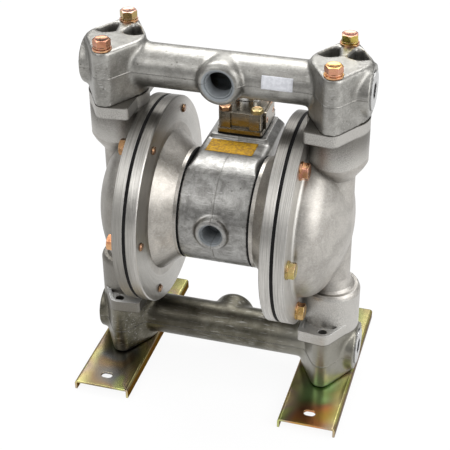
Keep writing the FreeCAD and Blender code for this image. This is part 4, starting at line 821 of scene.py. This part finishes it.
def parting_ridge(shape, axis, station, height, within):
    """Lift a thin ridge along a plane, where the test allows it."""
    normal = Vector([1.0 if name == axis else 0.0 for name in "XYZ"])
    for offset in (-RIDGE_HALF, 0.0, RIDGE_HALF):
        bmesh.ops.bisect_plane(
            shape, geom=shape.verts[:] + shape.edges[:] + shape.faces[:], dist=1e-5,
            plane_co=normal * (station + offset), plane_no=normal)
    shape.normal_update()
    middle = [
        (vert, vert.normal.copy()) for vert in shape.verts
        if abs(vert.co.dot(normal) - station) < 2e-5 and within(vert.co)
    ]
    for vert, outward in middle:
        vert.co += outward * height


def true_bore(shape, height, radius, near):
    """Make a bore along X round again."""
    for vert in shape.verts:
        rise = vert.co.z - height
        away = math.hypot(vert.co.y, rise)
        if 1e-6 < away < radius + near:
            vert.co.y *= radius / away
            vert.co.z = height + rise * radius / away


# %% Manifolds
MANIFOLD_VOXEL = 0.0014
MANIFOLD_STEPS = 22
MANIFOLD_RIDGE = 0.00035
JOINT_MARGIN = 0.0007
PLUG_FACE = 0.1585
RIDGE_END = 0.150
RIDGE_CLEAR = 0.020
UPPER_END = 0.413
LOWER_END = 0.012

manifolds = [
    ("discharge_manifold", UPPER_TUBE_Z, UPPER_JOINT, UPPER_END, cast_tube),
    ("suction_manifold", LOWER_TUBE_Z, LOWER_JOINT, LOWER_END, shaded_cast_foot),
]
for part_name, tube_z, joint_z, end_z, metal in manifolds:
    casting = even_mesh(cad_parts[part_name], MANIFOLD_VOXEL)
    relax(
        casting, lambda co: abs(co.z - joint_z) > JOINT_MARGIN and abs(co.x) < PLUG_FACE,
        MANIFOLD_STEPS)
    reset_planes(casting, 2, (joint_z, end_z), near=0.0004)
    parting_ridge(
        casting, "Z", tube_z, MANIFOLD_RIDGE,
        lambda co: abs(co.x) < RIDGE_END and math.hypot(co.y, co.z - tube_z) > RIDGE_CLEAR)
    finish_piece(casting, f"{part_name}_cast", metal, CASING, [part_name],
                 sharp=50.0)

# %% Centre body
BODY_VOXEL = 0.0013
BODY_STEPS = 10
BODY_RIDGE = 0.00025
PILOT_HEIGHT = 0.247
PILOT_BORE = 0.0043
FACE_MARGIN = 0.001


def on_front_round(co):
    outside = math.hypot(co.y, co.z - AXIS_HEIGHT) > 0.060
    return outside and co.y < -0.020 and co.z < 0.27


body_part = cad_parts["centre_body"]
end_x = max(vert.co.x for vert in body_part.data.vertices)
pad_z = max(vert.co.z for vert in body_part.data.vertices)
casting = even_mesh(body_part, BODY_VOXEL)
relax(
    casting, lambda co: abs(co.x) < end_x - FACE_MARGIN and co.z < pad_z - FACE_MARGIN,
    BODY_STEPS)
reset_planes(casting, 0, (-end_x, end_x), near=0.0005)
reset_planes(casting, 2, (pad_z,), near=0.0005)
true_bore(casting, PILOT_HEIGHT, PILOT_BORE, near=0.0008)
parting_ridge(casting, "X", 0.0, BODY_RIDGE, on_front_round)
finish_piece(casting, "centre_body_cast", cast_body, CASING,
             ["centre_body"], sharp=50.0)

# %% [markdown]
# ## Hexagon bolts
# A real hexagon head is a turned blank with a thirty degree chamfer whose
# six sides are then cut off flat, and the arcs on its sides come from that.
# It is made here in the same order: a lathed blank, six cuts, six caps. A
# bevelled prism would be quicker, but it would miss those arcs. The thread
# is a ridge wound round a thinner core.

# %% One hexagon head
DISH = 0.0003


def hexagon_head(flats, height):
    """A head with a chamfer round its top and a shallow dish in it."""
    corner = flats / math.sqrt(3)
    face = flats * 0.475
    drop = (corner - face) * math.tan(math.radians(30))
    blank = lathe([
        (0, 0), (corner, 0), (corner, height - drop), (face, height),
        (face * 0.86, height), (face * 0.80, height - DISH), (0, height - DISH),
    ], steps=72)
    for side in range(6):
        angle = math.radians(30 + 60 * side)
        outward = Vector((math.cos(angle), math.sin(angle), 0))
        cut = bmesh.ops.bisect_plane(
            blank, geom=blank.verts[:] + blank.edges[:] + blank.faces[:], dist=1e-7,
            plane_co=outward * flats / 2, plane_no=outward, clear_outer=True)
        rim = [item for item in cut["geom_cut"] if isinstance(item, bmesh.types.BMEdge)]
        bmesh.ops.edgeloop_fill(blank, edges=rim)
    return blank


# %% A threaded shank
POINT = 0.0008


def close_holes(shape):
    bmesh.ops.holes_fill(shape, edges=[edge for edge in shape.edges if edge.is_boundary])


def wound_ridge(section, pitch, turns, steps):
    """A closed ridge that winds upwards, as a thread does."""
    ridge = lathe(
        section + section[:1], steps=steps * turns, angle=math.tau * turns,
        rise=pitch * (turns - 1))
    close_holes(ridge)
    return ridge


def threaded_shank(radius, pitch, length, plain):
    """A shank from the head downwards, plain first and threaded below."""
    root = radius - pitch * 0.54
    crest = radius - 0.00008
    stem = radius - 0.0001
    turns = round((length - plain) / pitch)
    core = lathe([
        (0, 0), (stem, 0), (stem, -plain), (root, -plain),
        (root, -length + POINT), (root - POINT, -length), (0, -length),
    ], steps=24)
    ridge = wound_ridge([
        (root, -length), (crest, -length + pitch * 0.45),
        (crest, -length + pitch * 0.55), (root, -length + pitch),
    ], pitch, turns, 18)
    return join([core, ridge])


def hexagon_bolt(head, shank, where, axis, twist):
    """The head's width and height, the shank's radius, pitch, length and plain length."""
    bolt = join([hexagon_head(*head), threaded_shank(*shank)])
    return place_shape(bolt, where, axis, twist)


def finish_bolts(bolts, part_name):
    finish_piece(join(bolts), f"{part_name}_cut", copper_zinc, CASING,
                 [part_name])


# %% [markdown]
# ## Manifold bolts
# Eight bolts clamp the manifolds, four from above and four from below. No
# two heads stop at the same angle when they are tightened, so each gets its
# own turn, which an array of copies wouldn't give.

# %% Bolts of both manifolds
COLUMN_X = 0.125
LOBE_Y = 0.041
HEAD = (0.017, 0.0076)
FLAT_HEAD = (0.017, 0.0064)
UPPER_SHANK = (0.005, 0.0015, 0.0796, 0.049)
LOWER_SHANK = (0.005, 0.0015, 0.030, 0.008)
UPPER_SEAT_Z = 0.4176
LOWER_SEAT_Z = 0.0075
TWISTS = [0.35, 1.25, 0.15, 0.75]

corners = [(x, y) for x in (-COLUMN_X, COLUMN_X) for y in (-LOBE_Y, LOBE_Y)]
clamps = [
    ("upper_manifold_bolts", HEAD, UPPER_SHANK, UPPER_SEAT_Z, "Z"),
    ("lower_manifold_bolts", FLAT_HEAD, LOWER_SHANK, LOWER_SEAT_Z, "-Z"),
]
for part_name, head, shank, seat_z, axis in clamps:
    finish_bolts([
        hexagon_bolt(head, shank, (x, y, seat_z), axis, twist)
        for (x, y), twist in zip(corners, TWISTS)
    ], part_name)

# %% [markdown]
# ## Chamber bolts
# Six bolts run through each pair of flanges. Their heads are on the liquid
# side, and their threaded ends stand out of the air side. A loop sets them
# round the diaphragm's axis, each with its head turned a little further.

# %% Bolts round both diaphragms
BOLT_COUNT = 6
BOLT_CIRCLE = 0.106
BOLT_SEAT_X = 0.0985
FLANGE_SHANK = (0.005, 0.0015, 0.0325, 0.012)
SIDES = ((1, "right", "X"), (-1, "left", "-X"))

for side, name, axis in SIDES:
    bolts = []
    for i in range(BOLT_COUNT):
        angle = math.tau * i / BOLT_COUNT
        where = (side * BOLT_SEAT_X, BOLT_CIRCLE * math.cos(angle),
                 AXIS_HEIGHT + BOLT_CIRCLE * math.sin(angle))
        bolts.append(hexagon_bolt(HEAD, FLANGE_SHANK, where, axis, 0.2 + 0.31 * i))
    finish_bolts(bolts, f"chamber_bolts_{name}")

# %% [markdown]
# ## Spring washers
# A spring washer is a ring of square wire that is cut once and set so that
# its ends spring apart. A spin of a little less than a full turn that also
# rises is exactly that, and its two ends are then closed.

# %% Four split washers
WASHER = (0.0052, 0.0092, 0.0022)
WASHER_Z = 0.415
SPRING = 0.0004


def split_washer(inner, outer, thickness, where, twist):
    profile = [(inner, 0), (outer, 0), (outer, thickness), (inner, thickness), (inner, 0)]
    washer = lathe(profile, steps=40, angle=math.radians(350), rise=SPRING)
    close_holes(washer)
    return place_shape(washer, where, "Z", twist)


finish_bolts([
    split_washer(*WASHER, (x, y, WASHER_Z), 1.1 + twist)
    for (x, y), twist in zip(corners, TWISTS)
], "upper_spring_washers")

# %% [markdown]
# ## Air valve bolts
# Four smaller hexagon bolts hold the air valve down on its gasket. The
# functions above make them as well, since only their sizes differ.

# %% Four valve bolts
VALVE_HEAD = (0.013, 0.0053)
VALVE_SHANK = (0.004, 0.00125, 0.042, 0.024)
VALVE_SEAT_Z = 0.308
VALVE_CORNERS = [(-0.019, 0.058), (0.019, 0.058), (-0.019, 0.106), (0.019, 0.106)]

finish_bolts([
    hexagon_bolt(VALVE_HEAD, VALVE_SHANK, (x, y, VALVE_SEAT_Z), "Z", twist)
    for (x, y), twist in zip(VALVE_CORNERS, TWISTS)
], "valve_bolts")

# %% [markdown]
# ## Pipe threads
# The ports have tapped pipe threads. A bump would look flat in an open
# mouth, so each is a ridge that a rising spin winds up the bore. A row below
# gives a port's radius, pitch, length, mouth, direction and metal.

# %% Threads in the four ports
def tapped_thread(radius, pitch, length, where, axis):
    turns = int(length / pitch)
    depth = pitch * 0.5
    ridge = wound_ridge([
        (radius + 0.0001, 0), (radius - depth, pitch * 0.42),
        (radius - depth, pitch * 0.58), (radius + 0.0001, pitch),
    ], pitch, turns, 40)
    return place_shape(ridge, where, axis)


ports = [
    ("outlet_thread", 0.0152, 0.0023, 0.021, (0, -0.0315, UPPER_TUBE_Z), "Y", cast_tube),
    ("inlet_thread", 0.0152, 0.0023, 0.021, (0, 0.0315, LOWER_TUBE_Z), "-Y", shaded_cast_foot),
    ("exhaust_thread", 0.0121, 0.0018, 0.026, (0, -0.0675, EXHAUST_Z), "Y", cast_body),
    ("air_inlet_thread", 0.0075, 0.0013, 0.016, (0, 0.114, 0.264), "-Y", cast_body),
]
for name, radius, pitch, length, where, axis, metal in ports:
    thread = tapped_thread(radius, pitch, length, where, axis)
    finish_piece(thread, name, metal, CASING)

# %% [markdown]
# ## Diaphragms
# Each diaphragm is a rubber disk with one rolled fold, clamped outside by
# the flanges and inside by the disks. It has to bend as the rod moves. Here
# the part that bends is made as eight separate wedges; the rim is put on the
# casing and the hub on the rod.

# %% Rubber rim, hub and wedges
DIAPHRAGM_X = 0.0826
HALF_RUBBER = 0.002
BORE_RADIUS = 0.0065
HUB_RADIUS = 0.053
CLAMP_RADIUS = 0.095
RIM_RADIUS = 0.1205
FOLD_DEPTH = 0.007
WEDGES = 8


def fold(radius):
    """How far the rubber rolls towards the air side at a radius."""
    share = (radius - HUB_RADIUS) / (CLAMP_RADIUS - HUB_RADIUS)
    return FOLD_DEPTH * math.sin(math.pi * min(max(share, 0.0), 1.0)) ** 2


def rubber_section(inner, outer, count):
    radii = [inner + (outer - inner) * i / count for i in range(count + 1)]
    upper_side = [(r, HALF_RUBBER - fold(r)) for r in radii]
    under_side = [(r, -HALF_RUBBER - fold(r)) for r in reversed(radii)]
    return upper_side + under_side + upper_side[:1]


def finish_rubber(shape, side_name, name, body):
    return finish_piece(shape, f"diaphragm_{side_name}_{name}", rubber, body,
                        [f"diaphragm_{side_name}"])


for side, name, axis in SIDES:
    middle = Vector((side * DIAPHRAGM_X, 0, AXIS_HEIGHT))
    rim = lathe(rubber_section(CLAMP_RADIUS, RIM_RADIUS, 2), steps=96)
    finish_rubber(place_shape(rim, middle, axis), name, "rim", CASING)
    hub = lathe(rubber_section(BORE_RADIUS, HUB_RADIUS, 2), steps=64)
    finish_rubber(place_shape(hub, middle, axis), name, "hub", ROD)
    lay = Matrix.Rotation(side * math.pi / 2, 4, "Y")
    for i in range(WEDGES):
        wedge = lathe(
            rubber_section(HUB_RADIUS, CLAMP_RADIUS, 14), steps=6, angle=math.tau / WEDGES)
        close_holes(wedge)
        place_shape(wedge, middle, axis, math.tau * i / WEDGES)
        half_way = Matrix.Rotation(math.tau * (i + 0.5) / WEDGES, 4, "Z")
        outward = lay @ half_way @ Vector((1, 0, 0))
        piece = finish_rubber(wedge, name, f"wedge_{i}", None)
        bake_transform(piece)

# %% [markdown]
# ## Labels
# A yellow foil label lies on the pad before the air valve, with its front
# edge on the round of the body, and a small white paper sticker is bent
# round the upper tube. Both are left bare. Each is a thin grid that is laid
# on its carrier and then given its thickness.

# %% Foil and paper
def sheet_finish(name, light, dark, rough):
    material, tree, coords = start_material(name)
    crumple = noise(tree, coords["Object"], 300.0, 3.0, 0.6)
    colour = mix_colour(tree, remap(tree, crumple, 0.35, 0.65), (*dark, 1), (*light, 1))
    roughness = remap(tree, crumple, 0.3, 0.7, rough - 0.08, rough + 0.08)
    fill_shader(tree, colour, roughness, 0.0, crumple, 0.5, 0.0004)
    return material


yellow_foil = sheet_finish("yellow_foil", (0.56, 0.315, 0.004), (0.28, 0.14, 0.002), 0.75)
white_paper = sheet_finish("white_paper", (0.68, 0.69, 0.73), (0.58, 0.59, 0.63), 0.7)

# %% Label on the body
LABEL_SIZE = (0.0555, 0.031)
LABEL_PLACE = (-0.003, 0.0283, 0.2751)
LABEL_THICKNESS = 0.0003
BODY_RADIUS = 0.0646


def thin_plate(width, depth, cuts=12):
    plate = bmesh.new()
    bmesh.ops.create_grid(plate, x_segments=cuts, y_segments=cuts, size=0.5)
    bmesh.ops.scale(plate, vec=(width, depth, 1), verts=plate.verts)
    return plate


def finish_sheet(plate, name, material, thickness):
    piece = finish_piece(plate, name, material, CASING)
    skin = piece.modifiers.new("thickness", "SOLIDIFY")
    skin.thickness = thickness
    skin.offset = 1.0


label = thin_plate(*LABEL_SIZE)
bmesh.ops.translate(label, vec=LABEL_PLACE, verts=label.verts)
for vert in label.verts:
    on_round = AXIS_HEIGHT + math.sqrt(BODY_RADIUS ** 2 - vert.co.y ** 2)
    vert.co.z = max(vert.co.z, on_round)
finish_sheet(label, "yellow_label", yellow_foil, LABEL_THICKNESS)

# %% Sticker round the tube
STICKER_SIZE = (0.034, 0.0150)
STICKER_X = 0.062
STICKER_ANGLE = math.radians(76)
STICKER_RADIUS = 0.0247
STICKER_THICKNESS = 0.0002

sticker = thin_plate(*STICKER_SIZE)
for vert in sticker.verts:
    angle = STICKER_ANGLE + vert.co.y / STICKER_RADIUS
    vert.co = Vector((
        STICKER_X + vert.co.x,
        -math.sin(angle) * STICKER_RADIUS,
        UPPER_TUBE_Z + math.cos(angle) * STICKER_RADIUS,
    ))
finish_sheet(sticker, "paper_sticker", white_paper, STICKER_THICKNESS)

# %% [markdown]
# ## Floor and light
# The pump stands on a plain pale floor that also fills the background. The
# light is soft: a sky that is brighter overhead, and three large lamps. The
# floor shows nearly white to the camera and in reflections, and still takes
# a faint shadow. The sky is white where the camera looks past the floor.

# %% Floor
FLOOR_GLOW = 0.92

floor_material = bpy.data.materials.new("pale_floor")
floor_material.use_nodes = True
tree = floor_material.node_tree
tree.nodes.clear()
path = node(tree, "ShaderNodeLightPath").outputs
seen = math_node(tree, "MAXIMUM", path["Is Camera Ray"], path["Is Glossy Ray"])
seen = math_node(tree, "MAXIMUM", seen, path["Is Transmission Ray"])
matt = node(tree, "ShaderNodeBsdfDiffuse", {"Color": (0.9, 0.9, 0.9, 1)})
glow = node(tree, "ShaderNodeEmission", {"Color": (1, 1, 1, 1), "Strength": 1.0})
blend = node(tree, "ShaderNodeMixShader", {
    0: times(tree, seen, FLOOR_GLOW), 1: matt.outputs[0], 2: glow.outputs[0],
})
node(tree, "ShaderNodeOutputMaterial", {"Surface": blend.outputs[0]})

ground = bmesh.new()
bmesh.ops.create_grid(ground, x_segments=1, y_segments=1, size=8)
floor_mesh = bpy.data.meshes.new("floor")
ground.to_mesh(floor_mesh)
ground.free()
floor_mesh.materials.append(floor_material)
floor = bpy.data.objects.new("floor", floor_mesh)
scene.collection.objects.link(floor)
print("stage:", floor.name)

# %% Sky
world = bpy.data.worlds.new("studio")
world.use_nodes = True
scene.world = world
tree = world.node_tree
tree.nodes.clear()
height = parts_of(tree, node(tree, "ShaderNodeTexCoord").outputs["Generated"])["Z"]
brightness = remap(tree, height, 0.0, 0.95, 0.17, 0.96)
path = node(tree, "ShaderNodeLightPath").outputs
seen = math_node(tree, "MAXIMUM", path["Is Camera Ray"], path["Is Transmission Ray"])
strength = math_node(tree, "MAXIMUM", brightness, seen)
sky = node(tree, "ShaderNodeBackground", {"Color": (1, 1, 1, 1), "Strength": strength})
node(tree, "ShaderNodeOutputWorld", {"Surface": sky.outputs[0]})

# %% Lamps
LAMPS = [
    ("key", (-0.35, 0.75, 1.55), (0, 0, 0.25), (1.7, 1.0), 25),
    ("fill", (1.6, -0.35, 0.95), (0, 0, 0.2), (1.5, 1.5), 24),
    ("front", (-0.9, -1.2, 1.3), (0, 0, 0.2), (0.9, 0.7), 6),
]
for name, where, target, size, power in LAMPS:
    data = bpy.data.lights.new(name, "AREA")
    data.shape = "RECTANGLE"
    data.size, data.size_y = size
    data.energy = power
    lamp = bpy.data.objects.new(name, data)
    aim = (Vector(target) - Vector(where)).to_track_quat("-Z", "Y")
    lamp.matrix_world = Matrix.Translation(where) @ aim.to_matrix().to_4x4()
    scene.collection.objects.link(lamp)
    print("lamp:", name, power, "W")
scene.view_settings.view_transform = "Standard"

# %% [markdown]
# ## Last update
# The view layer is brought up to date at the end. The dressed pump has to stay in the
# box of the CAD model.

# %% Update the view layer
bpy.context.view_layer.update()
